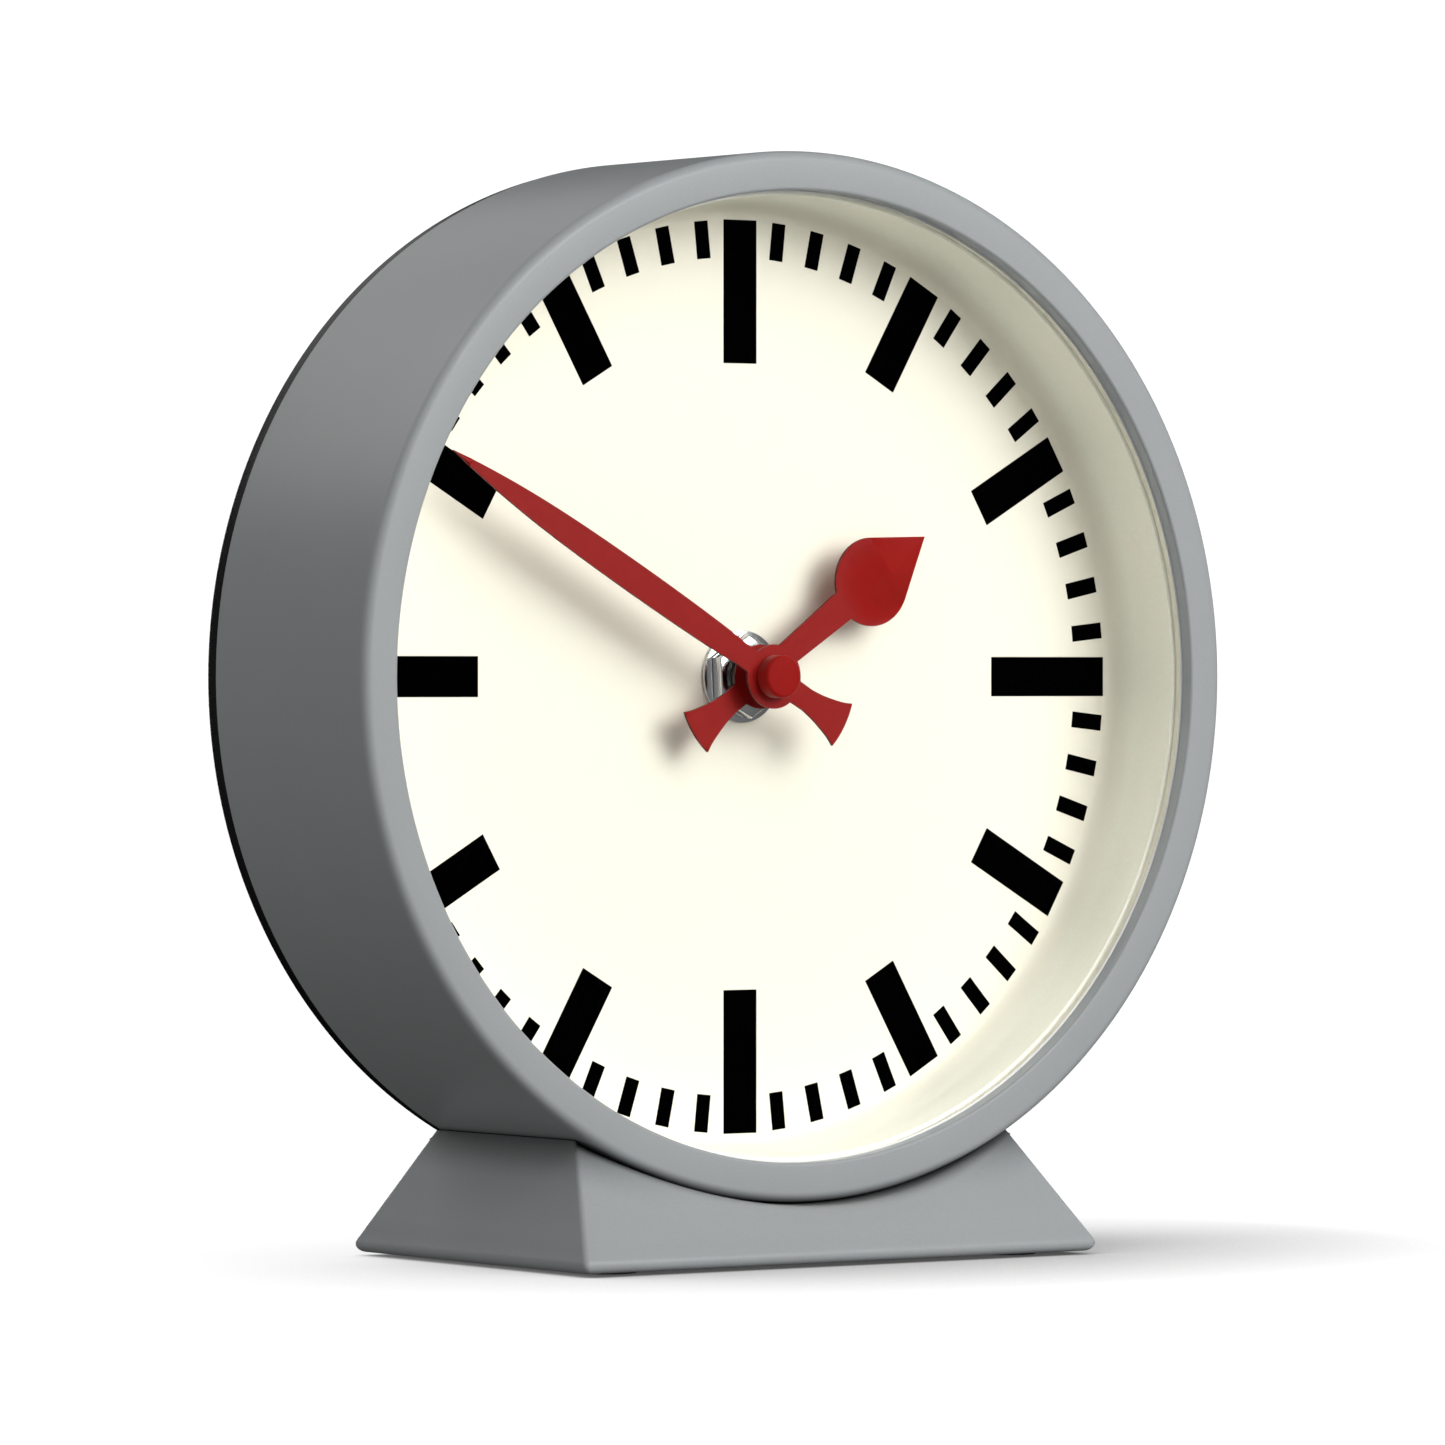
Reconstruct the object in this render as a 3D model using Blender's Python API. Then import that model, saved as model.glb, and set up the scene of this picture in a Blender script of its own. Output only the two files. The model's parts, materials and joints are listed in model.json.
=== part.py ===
"""Desk clock: a round case on a saddle base, with a railway dial and a quartz movement.

The origin is the centre of the footprint on the table, +Z is up and the dial faces -Y.
Every piece but the base pieces is drawn about the centre of the dial's front face:
y runs back from the dial, x to the right as one looks at the dial, z up.
"""

import math

import bmesh
import bpy
from mathutils import Matrix

# Fits
GAP = 0.0003
FLAT_GAP = 0.00015
RUN_GAP = 0.00015
OVERRUN = 0.002
MERGE = 0.000002

# Case and front ring
CASE_R = 0.0875
CASE_WALL = 0.0023
CASE_LENGTH = 0.0453
RING_W = 0.0066
LIP_T = 0.0024
RING_OUTER_ROUND = 0.0013
RING_BORE_ROUND = 0.0012
BOSS_R = 0.0020
BOSS_INSET = 0.0008
BOSS_HOLE_DEPTH = 0.011
FIN_T = 0.0016
FIN_LENGTH = 0.027
FIN_ANGLES = (0, 90, 180, 247, 293)

# Base
BASE_WIDTH = 0.1056
BASE_DEPTH = 0.0726
BASE_WALL = 0.0030
BASE_STOCK_H = 0.0236
BASE_FRONT_REACH = 0.03225
DRUM_ABOVE_BASE = 0.0094
BASE_CORNER_ROUND = 0.0009
BASE_FOOT_ROUND = 0.0012
BASE_FOOT_ANGLES = (-90, -45, 0, 38)
BASE_SIDE_LEAN = math.radians(23.4)
BASE_FRONT_LEAN = math.radians(38.6)
BASE_REAR_LEAN = math.radians(33.2)
BASE_RIB_T = 0.0016
SADDLE_POST_R = 0.0034
SADDLE_POST_SHARES = (0.60, 0.86)
PLATE_T = 0.0020
PLATE_INSET = 0.0002
PLATE_POST_R = 0.0034
PLATE_POST_SHARE = 0.61
BASE_RIB_SHARE = 0.36
FOOT_R = 0.0050
FOOT_PROUD = 0.0006
FOOT_SUNK = 0.0008
FOOT_INSET = 0.0120

# Lens, reflector and dial
LENS_T = 0.0016
LENS_ROOM = 0.00248
REFLECTOR_LEDGE = 0.0019
REFLECTOR_WALL = 0.0011
REFLECTOR_RIM_T = 0.0013
REFLECTOR_EDGE = 0.0003
DIAL_T = 0.0010

# Rear cover
COVER_INSET = 0.0003
COVER_RIM_T = 0.00375
COVER_PANEL_T = 0.0022
COVER_EDGE_ROUND = 0.0012
SKIRT_WALL = 0.0016
SKIRT_SLOT_W = 0.044
SKIRT_SLOT_L = 0.015
SKIRT_SLOT_ANGLES = (0, 45, 90, 135)
COLLAR_WALL = 0.0016
COLLAR_DEPTH = 0.0090

# Screws
SCREW_R = 0.0009
SCREW_HEAD_R = 0.0019
SCREW_HEAD_H = 0.0011
SCREW_CROWN_SHARE = 0.75
COVER_SCREW_L = 0.0120
BASE_SCREW_R = 0.0014
BASE_SCREW_HEAD_R = 0.0026
BASE_SCREW_HEAD_H = 0.0016
BASE_SCREW_L = 0.0070
PLATE_SCREW_L = 0.0085

# Movement case
MOVE_CORNER_R = 0.0030
MOVE_WALL = 0.0014
MOVE_FRONT_T = 0.0016
RUBBER_T = 0.0009
RUBBER_R = 0.0090
BUSH_WALL = 0.00125
BUSH_REACH = 0.0053
BUSH_FLANGE_W = 0.0013
BUSH_FLANGE_T = 0.0006
DIAL_WASHER_R = 0.0078
DIAL_WASHER_T = 0.0005
NUT_FLATS = 0.0122
NUT_T = 0.0024
NUT_CHAMFER = 0.0004
NUT_FACE_SHARE = 0.98
PIVOT_DEPTH = 0.0010

# Battery and its bay
CELL_R = 0.0071
CELL_L = 0.0495
CELL_NUB_R = 0.0027
CELL_NUB_L = 0.0010
CELL_EDGE = 0.0006
BAY_FLOOR_T = 0.0010
BAY_WALL = 0.0010
BAY_SLACK = 0.0005
CELL_SUNK = 0.00025
CONTACT_ROOM = 0.00135
CONTACT_T = 0.0004
CONTACT_W = 0.0080
CONTACT_SPRING = 0.0014
NOTCH_W = 0.020
NOTCH_DEPTH = 0.0050

# Hands
HAND_T = 0.0005
HOUR_HAND_ROOM = 0.0005
MINUTE_HAND_ROOM = 0.0008
HAND_COLLAR_WALL = 0.00075
HUB_R = 0.00538
HOUR_LENGTH = 0.0415
HOUR_STEM_NEAR = 0.00205
HOUR_STEM_FAR = 0.00262
SPADE_R = 0.0075
SPADE_AT = 0.02795
MINUTE_TIP_ROOM = 0.0062
MINUTE_BELLY = 0.00255
TAIL_LENGTH = 0.0168
TAIL_NECK = 0.00195
TAIL_NECK_AT = 0.0078
TAIL_END = 0.0041
HOUR_COLLAR_T = 0.0007
MINUTE_COLLAR_T = 0.0016
CAP_R = 0.0036
CAP_ROOF = 0.0007
CAP_ROUND = 0.00062
HOUR_ANGLE = math.radians(55)
MINUTE_ANGLE = math.radians(300)

# Distance from the hub and half width, as shares of the minute hand's length and belly
MINUTE_SHAPE_SHARES = (
    (0.10, 0.76),
    (0.17, 0.88),
    (0.29, 0.97),
    (0.42, 1.00),
    (0.54, 0.98),
    (0.64, 0.92),
    (0.73, 0.81),
    (0.81, 0.65),
    (0.88, 0.46),
    (0.95, 0.22),
)
# Distance along and half width of the tail, from its neck to its end
TAIL_SHAPE_SHARES = ((0.25, 0.13), (0.5, 0.36), (0.75, 0.66), (0.93, 1.0))

# Gear train: teeth, and the module of each mesh
CANNON_TEETH = 10
MINUTE_WHEEL_TEETH = 30
MINUTE_PINION_TEETH = 8
HOUR_WHEEL_TEETH = 32
SETTING_TEETH = 10
CENTRE_TEETH = 48
THIRD_TEETH = 45
SECONDS_TEETH = 30
INTERMEDIATE_TEETH = 36
PINION_TEETH = 6
MOTION_MODULE = 0.0004
THIRD_AXIS_R = 0.0090
SECONDS_MODULE = 0.000525
ROTOR_MODULE = 0.0004
THIRD_AXIS_ANGLE = math.radians(130)
INTERMEDIATE_AXIS_ANGLE = math.radians(35)
ROTOR_AXIS_ANGLE = math.radians(5)
MINUTE_WHEEL_ANGLE = math.radians(200)
SETTING_ANGLE = math.radians(180)

# Tooth forms: addendum and dedendum in modules, half widths at tip and root in pitches
WHEEL_TOOTH_SHARES = (0.90, 1.25, 0.09, 0.24)
PINION_TOOTH_SHARES = (0.75, 1.30, 0.09, 0.23)

# Arbors and the levels of the wheels, from the inner face of the front plate
WHEEL_T = 0.0009
LEVEL_GAP = 0.0003
ARBOR_R = 0.00045
HOUR_PIPE_WALL = 0.0007
HOUR_PIPE_PROUD = 0.0009
MINUTE_ARBOR_R = 0.0016
MINUTE_ARBOR_SLACK = 0.00025
MINUTE_ARBOR_PROUD = 0.0022
MINUTE_SHOULDER_W = 0.0006
SECONDS_BORE_DEPTH = 0.0026
MOTION_POST_R = 0.00055
SETTING_R = 0.0009
SETTING_PIVOT_R = 0.0005
KNOB_R = 0.0055
KNOB_T = 0.0046
KNOB_FLUTE_DEPTH = 0.0005
KNOB_FLUTES = 12
KNOB_STANDOFF = 0.0003
KNOB_BORE_DEPTH = 0.0035
KNOB_CHAMFER = 0.0006

# Train plate, motor and circuit
TRAIN_PLATE_T = 0.0010
TRAIN_PLATE_LEFT_ROOM = 0.0054
TRAIN_PLATE_RIGHT_ROOM = 0.0012
TRAIN_PLATE_TOP_ROOM = 0.0008
TRAIN_PLATE_CORNER = 0.0015
TRAIN_POST_R = 0.0011
MAGNET_R = 0.0024
MAGNET_T = 0.0018
STATOR_T = 0.0008
STATOR_AIR = 0.0005
STATOR_LEG_W = 0.0030
STATOR_SPAN = 0.0081
STATOR_FOOT = 0.0044
COIL_ROOM = 0.0032
BOBBIN_HALF = 0.0034
BOBBIN_FLANGE_T = 0.0008
BOBBIN_WALL = 0.0004
COIL_HALF = 0.0029
CIRCUIT_T = 0.0008
CIRCUIT_LEFT = 0.0205
CIRCUIT_RIGHT = 0.0060
CIRCUIT_BOTTOM = 0.0020
CIRCUIT_TOP = 0.0128
CHIP_R = 0.0024
CHIP_H = 0.0009
CHIP_DOME_SHARE = 0.75
CRYSTAL_R = 0.0010
CRYSTAL_L = 0.0060

# Facets
RING_SIDES = 60
INNER_SIDES = 44
SMALL_SIDES = 16
TINY_SIDES = 10
ROUND_STEPS = 3
EDGE_STEPS = 2

# Places that follow from the sizes above
BASE_FRONT_SHAVE = BASE_FOOT_ROUND * (math.tan(math.pi / 4 + BASE_FRONT_LEAN / 2) - 1)
BASE_REAR_SHAVE = BASE_FOOT_ROUND * (math.tan(math.pi / 4 + BASE_REAR_LEAN / 2) - 1)
BASE_FRONT_END = BASE_FRONT_REACH - BASE_FRONT_SHAVE
BASE_REAR_END = BASE_DEPTH - BASE_FRONT_REACH - BASE_REAR_SHAVE
BASE_MIDDLE_Y = (BASE_REAR_END - BASE_FRONT_END) / 2
DIAL_Y = -BASE_MIDDLE_Y
AXIS_Z = CASE_R + DRUM_ABOVE_BASE + FOOT_PROUD
BASE_Z = -CASE_R - DRUM_ABOVE_BASE
FOOT_X = BASE_WIDTH / 2 - FOOT_INSET
FOOT_Y = BASE_DEPTH / 2 - FOOT_INSET
PLATE_POST_X = BASE_WIDTH / 2 * PLATE_POST_SHARE
BASE_RIB_X = BASE_WIDTH / 2 * BASE_RIB_SHARE
HOUR_PIPE_R = MINUTE_ARBOR_R + MINUTE_ARBOR_SLACK + HOUR_PIPE_WALL
BUSH_R = HOUR_PIPE_R + RUN_GAP + BUSH_WALL
HOUR_PLANE = BUSH_REACH + HOUR_HAND_ROOM + HAND_T
HOUR_PIPE_REACH = HOUR_PLANE + HOUR_PIPE_PROUD
MINUTE_PLANE = HOUR_PIPE_REACH + MINUTE_HAND_ROOM + MINUTE_COLLAR_T + HAND_T
MINUTE_ARBOR_REACH = MINUTE_PLANE + MINUTE_ARBOR_PROUD
CAP_FRONT = MINUTE_ARBOR_REACH + CAP_ROOF
HOUR_COLLAR_R = HOUR_PIPE_R + HAND_COLLAR_WALL
MINUTE_COLLAR_R = MINUTE_ARBOR_R + HAND_COLLAR_WALL
MINUTE_SHOULDER_R = MINUTE_ARBOR_R + MINUTE_SHOULDER_W
RING_FRONT = -CAP_FRONT - LENS_ROOM - LENS_T - FLAT_GAP - LIP_T
LIP_REAR = RING_FRONT + LIP_T
SEAM = RING_FRONT + CASE_LENGTH
LIP_BORE_R = CASE_R - RING_W
CASE_INNER_R = CASE_R - CASE_WALL
BOSS_AXIS_R = CASE_INNER_R - BOSS_INSET
INSERT_R = BOSS_AXIS_R - BOSS_R - GAP
REFLECTOR_R = INSERT_R - REFLECTOR_LEDGE
MINUTE_LENGTH = REFLECTOR_R - MINUTE_TIP_ROOM
COVER_R = CASE_R - COVER_INSET
SADDLE_POST_YS = [RING_FRONT + CASE_LENGTH * share for share in SADDLE_POST_SHARES]
COVER_FRONT = SEAM + FLAT_GAP
COVER_REAR = COVER_FRONT + COVER_RIM_T
SCREW_HOLE_R = SCREW_R + RUN_GAP
BASE_SCREW_HOLE_R = BASE_SCREW_R + RUN_GAP
SADDLE_R = CASE_R + GAP
MOVE_HALF = (CELL_L + CELL_NUB_L) / 2 + CONTACT_ROOM + MOVE_WALL
MOVE_T = MOVE_FRONT_T + FLAT_GAP + BAY_FLOOR_T + GAP + 2 * CELL_R + CELL_SUNK
MOVE_FRONT = DIAL_T + FLAT_GAP + RUBBER_T + FLAT_GAP
MOVE_INNER = MOVE_FRONT + MOVE_FRONT_T
MOVE_REAR = MOVE_FRONT + MOVE_T
REAR_CASE_FRONT = MOVE_INNER + FLAT_GAP
REAR_WALL_INNER = MOVE_REAR - MOVE_WALL
MOVE_INNER_HALF = MOVE_HALF - MOVE_WALL
COIL_Z = MOVE_INNER_HALF - BOBBIN_HALF - COIL_ROOM
TRAIN_PLATE_LEFT = MOVE_INNER_HALF - TRAIN_PLATE_LEFT_ROOM
TRAIN_PLATE_RIGHT = MOVE_INNER_HALF - TRAIN_PLATE_RIGHT_ROOM
TRAIN_PLATE_TOP = COIL_Z - BOBBIN_HALF - TRAIN_PLATE_TOP_ROOM
CELL_Y = REAR_CASE_FRONT + BAY_FLOOR_T + GAP + CELL_R
CELL_Z = -MOVE_HALF + BAY_WALL + BAY_SLACK + CELL_R
BAY_TOP = CELL_Z + CELL_R + BAY_SLACK
TRAIN_FLOOR = BAY_TOP + BAY_WALL
LEVEL_HOUR = MOVE_INNER + LEVEL_GAP
LEVEL_CANNON = LEVEL_HOUR + WHEEL_T + LEVEL_GAP
LEVEL_SHOULDER = LEVEL_CANNON + WHEEL_T
LEVEL_CENTRE = LEVEL_SHOULDER + LEVEL_GAP + LEVEL_GAP
LEVEL_THIRD = LEVEL_CENTRE + WHEEL_T + LEVEL_GAP + LEVEL_GAP
LEVEL_SECONDS = LEVEL_THIRD + WHEEL_T + LEVEL_GAP
LEVEL_INTERMEDIATE = LEVEL_SECONDS + WHEEL_T + LEVEL_GAP
TRAIN_PLATE_Y = LEVEL_INTERMEDIATE + WHEEL_T + LEVEL_GAP + LEVEL_GAP
TRAIN_PLATE_REAR = TRAIN_PLATE_Y + TRAIN_PLATE_T
STATOR_Y = TRAIN_PLATE_REAR + FLAT_GAP
MAGNET_Y = STATOR_Y
CORE_Y = STATOR_Y + STATOR_T + FLAT_GAP
CIRCUIT_Y = TRAIN_PLATE_REAR + FLAT_GAP
CIRCUIT_REAR = CIRCUIT_Y + CIRCUIT_T
PIVOT_END = MOVE_INNER - PIVOT_DEPTH + RUN_GAP
PIVOT_HOLE_R = ARBOR_R + RUN_GAP
CENTRE_MODULE = 2 * THIRD_AXIS_R / (CENTRE_TEETH + PINION_TEETH)
THIRD_MODULE = 2 * THIRD_AXIS_R / (THIRD_TEETH + PINION_TEETH)


def polar(radius, angle):
    return radius * math.cos(angle), radius * math.sin(angle)


def stepped_from(start, radius, angle):
    x, z = polar(radius, angle)
    return start[0] + x, start[1] + z


CENTRE_AXIS = (0.0, 0.0)
THIRD_AXIS = polar(THIRD_AXIS_R, THIRD_AXIS_ANGLE)
INTERMEDIATE_AXIS = polar(SECONDS_MODULE * (SECONDS_TEETH + PINION_TEETH) / 2, INTERMEDIATE_AXIS_ANGLE)
ROTOR_AXIS = stepped_from(
    INTERMEDIATE_AXIS, ROTOR_MODULE * (INTERMEDIATE_TEETH + PINION_TEETH) / 2, ROTOR_AXIS_ANGLE
)
MINUTE_WHEEL_AXIS = polar(MOTION_MODULE * (CANNON_TEETH + MINUTE_WHEEL_TEETH) / 2, MINUTE_WHEEL_ANGLE)
SETTING_AXIS = stepped_from(
    MINUTE_WHEEL_AXIS, MOTION_MODULE * (MINUTE_WHEEL_TEETH + SETTING_TEETH) / 2, SETTING_ANGLE
)
TRAIN_POSTS = (
    (-TRAIN_PLATE_LEFT + TRAIN_POST_R, TRAIN_FLOOR + GAP + TRAIN_POST_R),
    (TRAIN_PLATE_RIGHT - TRAIN_POST_R, TRAIN_FLOOR + GAP + TRAIN_POST_R),
    (-TRAIN_PLATE_LEFT + TRAIN_POST_R, TRAIN_PLATE_TOP - TRAIN_POST_R),
    (CIRCUIT_RIGHT - STATOR_LEG_W, TRAIN_PLATE_TOP - TRAIN_POST_R),
)


# Scene, materials and placing


def clear_scene():
    for obj in list(bpy.data.objects):
        bpy.data.objects.remove(obj)


def material(name, colour, roughness, metallic=0.0):
    found = bpy.data.materials.get(name)
    if found:
        return found
    made = bpy.data.materials.new(name)
    made.use_nodes = True
    shader = made.node_tree.nodes["Principled BSDF"]
    shader.inputs["Base Color"].default_value = (*colour, 1.0)
    shader.inputs["Roughness"].default_value = roughness
    shader.inputs["Metallic"].default_value = metallic
    made.diffuse_color = (*colour, 1.0)
    return made


def grey_case():
    return material("grey_case", (0.36, 0.39, 0.40), 0.45)


def black_plastic():
    return material("black_plastic", (0.012, 0.012, 0.012), 0.5)


def cream_plastic():
    return material("cream_plastic", (0.80, 0.78, 0.62), 0.6)


def dial_print():
    return material("dial_print", (0.93, 0.93, 0.84), 0.6)


def red_paint():
    return material("red_paint", (0.36, 0.02, 0.02), 0.35)


def bright_metal():
    return material("bright_metal", (0.80, 0.80, 0.80), 0.2, 1.0)


def brass():
    return material("brass", (0.72, 0.52, 0.22), 0.3, 1.0)


def steel():
    return material("steel", (0.55, 0.55, 0.56), 0.35, 1.0)


def copper_wire():
    return material("copper_wire", (0.55, 0.20, 0.09), 0.4, 1.0)


def white_nylon():
    return material("white_nylon", (0.82, 0.82, 0.78), 0.5)


def clear_glass():
    return material("clear_glass", (0.90, 0.93, 0.93), 0.03)


def black_rubber():
    return material("black_rubber", (0.02, 0.02, 0.02), 0.85)


def board_green():
    return material("board_green", (0.03, 0.16, 0.07), 0.4)


def cell_wrap():
    return material("cell_wrap", (0.05, 0.05, 0.055), 0.3, 0.4)


def add_piece(name, bm, finish, axis=CENTRE_AXIS, sharp=math.radians(35)):
    """Makes the mesh an object whose origin lies on the given axis, level with the dial."""
    bmesh.ops.recalc_face_normals(bm, faces=bm.faces)
    mesh = bpy.data.meshes.new(name)
    bm.to_mesh(mesh)
    bm.free()
    mesh.shade_smooth()
    mesh.set_sharp_from_angle(angle=sharp)
    obj = bpy.data.objects.new(name, mesh)
    obj.location = (axis[0], DIAL_Y, AXIS_Z + axis[1])
    obj.data.materials.append(finish)
    bpy.context.scene.collection.objects.link(obj)
    return obj


def combine(target, bm, operation, axis=CENTRE_AXIS):
    """Adds or cuts the shape in bm, and keeps only the result."""
    tool = add_piece("tool", bm, target.data.materials[0], axis)
    modifier = target.modifiers.new(operation.lower(), "BOOLEAN")
    modifier.operation = operation
    modifier.solver = "EXACT"
    modifier.object = tool
    graph = bpy.context.evaluated_depsgraph_get()
    result = bpy.data.meshes.new_from_object(target.evaluated_get(graph))
    target.modifiers.clear()
    target.data = result
    weld(result)
    result.shade_smooth()
    result.set_sharp_from_angle(angle=math.radians(35))
    bpy.data.objects.remove(tool)


def weld(mesh):
    """Joins the points that a cut leaves on top of each other."""
    bm = bmesh.new()
    bm.from_mesh(mesh)
    bmesh.ops.remove_doubles(bm, verts=bm.verts, dist=MERGE)
    bmesh.ops.dissolve_degenerate(bm, edges=bm.edges, dist=MERGE)
    bm.to_mesh(mesh)
    bm.free()


def add(target, bm, axis=CENTRE_AXIS):
    combine(target, bm, "UNION", axis)


def cut(target, bm, axis=CENTRE_AXIS):
    combine(target, bm, "DIFFERENCE", axis)


# Shapes


def arc(centre, radius, start, end, steps=ROUND_STEPS):
    """Points on an arc, both ends included; angles in degrees."""
    points = []
    for i in range(steps + 1):
        x, z = polar(radius, math.radians(start + (end - start) * i / steps))
        points.append((centre[0] + x, centre[1] + z))
    return points


def circle(radius, sides, centre=CENTRE_AXIS, phase=0.0):
    return [stepped_from(centre, radius, phase + math.tau * i / sides) for i in range(sides)]


def rectangle(x0, x1, z0, z1):
    return [(x0, z0), (x1, z0), (x1, z1), (x0, z1)]


def rounded_rectangle(x0, x1, z0, z1, radius):
    points = []
    points += arc((x1 - radius, z0 + radius), radius, -90, 0)
    points += arc((x1 - radius, z1 - radius), radius, 0, 90)
    points += arc((x0 + radius, z1 - radius), radius, 90, 180)
    points += arc((x0 + radius, z0 + radius), radius, 180, 270)
    return points


def prism(outline, y0, y1):
    """The outline, in x and z, extruded from y0 to y1."""
    bm = bmesh.new()
    verts = [bm.verts.new((x, y0, z)) for x, z in outline]
    face = bm.faces.new(verts)
    grown = bmesh.ops.extrude_face_region(bm, geom=[face])["geom"]
    moved = [v for v in grown if isinstance(v, bmesh.types.BMVert)]
    bmesh.ops.translate(bm, verts=moved, vec=(0, y1 - y0, 0))
    bmesh.ops.recalc_face_normals(bm, faces=bm.faces)
    return bm


def turned(profile, sides, ring=False):
    """The profile, in radius and y, spun about the y axis. A ring's profile closes on itself."""
    bm = bmesh.new()
    verts = [bm.verts.new((radius, y, 0)) for radius, y in profile]
    pairs = list(zip(verts, verts[1:]))
    if ring:
        pairs.append((verts[-1], verts[0]))
    edges = [bm.edges.new(pair) for pair in pairs]
    bmesh.ops.spin(
        bm,
        geom=verts + edges,
        cent=(0, 0, 0),
        axis=(0, 1, 0),
        dvec=(0, 0, 0),
        angle=math.tau,
        steps=sides,
        use_merge=True,
        use_duplicate=False,
    )
    bmesh.ops.remove_doubles(bm, verts=bm.verts, dist=MERGE)
    bmesh.ops.recalc_face_normals(bm, faces=bm.faces)
    return bm


def rod(radius, y0, y1, sides=SMALL_SIDES):
    return turned([(0, y0), (radius, y0), (radius, y1), (0, y1)], sides)


def tube(inner, outer, y0, y1, sides=SMALL_SIDES):
    return turned([(inner, y0), (outer, y0), (outer, y1), (inner, y1)], sides, ring=True)


def rotated(bm, angle, axis):
    bmesh.ops.rotate(bm, verts=bm.verts, cent=(0, 0, 0), matrix=Matrix.Rotation(angle, 3, axis))
    return bm


def shifted(bm, x, y, z):
    bmesh.ops.translate(bm, verts=bm.verts, vec=(x, y, z))
    return bm


def upright(bm, x, y, z):
    """A shape drawn along y, stood up so that its +y end points down, at the given place."""
    return shifted(rotated(bm, math.radians(-90), "X"), x, y, z)


def along_x(bm, x, y, z):
    """A shape drawn along y, laid so that its +y end points along +x, at the given place."""
    return shifted(rotated(bm, math.radians(-90), "Z"), x, y, z)


# Teeth


def toothed(teeth, module, phase, shares):
    addendum, dedendum, tip, root = shares
    pitch_r = teeth * module / 2
    step = math.tau / teeth
    low, high = pitch_r - dedendum * module, pitch_r + addendum * module
    points = []
    for i in range(teeth):
        middle = phase + i * step
        points.append(polar(low, middle - root * step))
        points.append(polar(high, middle - tip * step))
        points.append(polar(high, middle + tip * step))
        points.append(polar(low, middle + root * step))
    return points


def wheel(teeth, module, phase, y0, y1):
    return prism(toothed(teeth, module, phase, WHEEL_TOOTH_SHARES), y0, y1)


def pinion(teeth, module, phase, y0, y1):
    return prism(toothed(teeth, module, phase, PINION_TOOTH_SHARES), y0, y1)


def meshing_phase(teeth, phase, direction, other_teeth):
    """The phase of the other gear whose gap takes the tooth of this one, along direction."""
    turned_teeth = (direction - phase) * teeth / math.tau
    return direction + math.pi - math.tau / other_teeth * (1 / 2 - turned_teeth)


# Case


def case_profile():
    outer = RING_OUTER_ROUND
    inner = RING_BORE_ROUND
    points = [(CASE_INNER_R, SEAM), (CASE_R, SEAM)]
    for y, radius in arc((RING_FRONT + outer, CASE_R - outer), outer, 90, 180):
        points.append((radius, y))
    for y, radius in arc((RING_FRONT + inner, LIP_BORE_R + inner), inner, 180, 270, EDGE_STEPS):
        points.append((radius, y))
    points += [(LIP_BORE_R, LIP_REAR), (CASE_INNER_R, LIP_REAR)]
    return points


def boss_places():
    return [polar(BOSS_AXIS_R, math.radians(45 + 90 * i)) for i in range(4)]


def case_drum():
    drum = add_piece("case_drum", turned(case_profile(), RING_SIDES, ring=True), grey_case())
    sunk = LIP_REAR - LIP_T / 2
    for place in boss_places():
        add(drum, rod(BOSS_R, sunk, SEAM - GAP, TINY_SIDES), place)
    for degrees in FIN_ANGLES:
        fin = prism(
            rectangle(INSERT_R + GAP, CASE_INNER_R + CASE_WALL / 2, -FIN_T / 2, FIN_T / 2),
            sunk,
            sunk + FIN_LENGTH,
        )
        add(drum, rotated(fin, math.radians(-degrees), "Y"))
    for place in boss_places():
        cut(drum, rod(SCREW_HOLE_R, SEAM - BOSS_HOLE_DEPTH, SEAM + OVERRUN, TINY_SIDES), place)
    for y in SADDLE_POST_YS:
        hole = rod(BASE_SCREW_HOLE_R, -CASE_WALL - OVERRUN, CASE_WALL + OVERRUN, TINY_SIDES)
        cut(drum, upright(hole, 0, y, -CASE_INNER_R - CASE_WALL / 2))
    return drum


# Base


def frustum(inset, z0, z1):
    """The base's sloping block between two heights above its foot, drawn in from its faces."""
    bm = bmesh.new()
    rings = []
    for height in (z0, z1):
        half = BASE_WIDTH / 2 - inset - height * math.tan(BASE_SIDE_LEAN)
        front = -BASE_FRONT_REACH + inset + height * math.tan(BASE_FRONT_LEAN)
        rear = BASE_DEPTH - BASE_FRONT_REACH - inset - height * math.tan(BASE_REAR_LEAN)
        z = BASE_Z + height
        corners = ((-half, front), (half, front), (half, rear), (-half, rear))
        rings.append([bm.verts.new((x, y, z)) for x, y in corners])
    bm.faces.new(rings[0])
    bm.faces.new(rings[1])
    for i in range(4):
        j = (i + 1) % 4
        bm.faces.new((rings[0][i], rings[0][j], rings[1][j], rings[1][i]))
    bmesh.ops.recalc_face_normals(bm, faces=bm.faces)
    return bm


def face_inset(height, lean):
    """How far a leaning face with a rounded foot lies inside the block's sharp foot."""
    foot = BASE_FOOT_ROUND
    if height > foot * (1 + math.sin(lean)):
        return height * math.tan(lean)
    return foot * math.tan(math.pi / 4 + lean / 2) - math.sqrt(foot ** 2 - (height - foot) ** 2)


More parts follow.
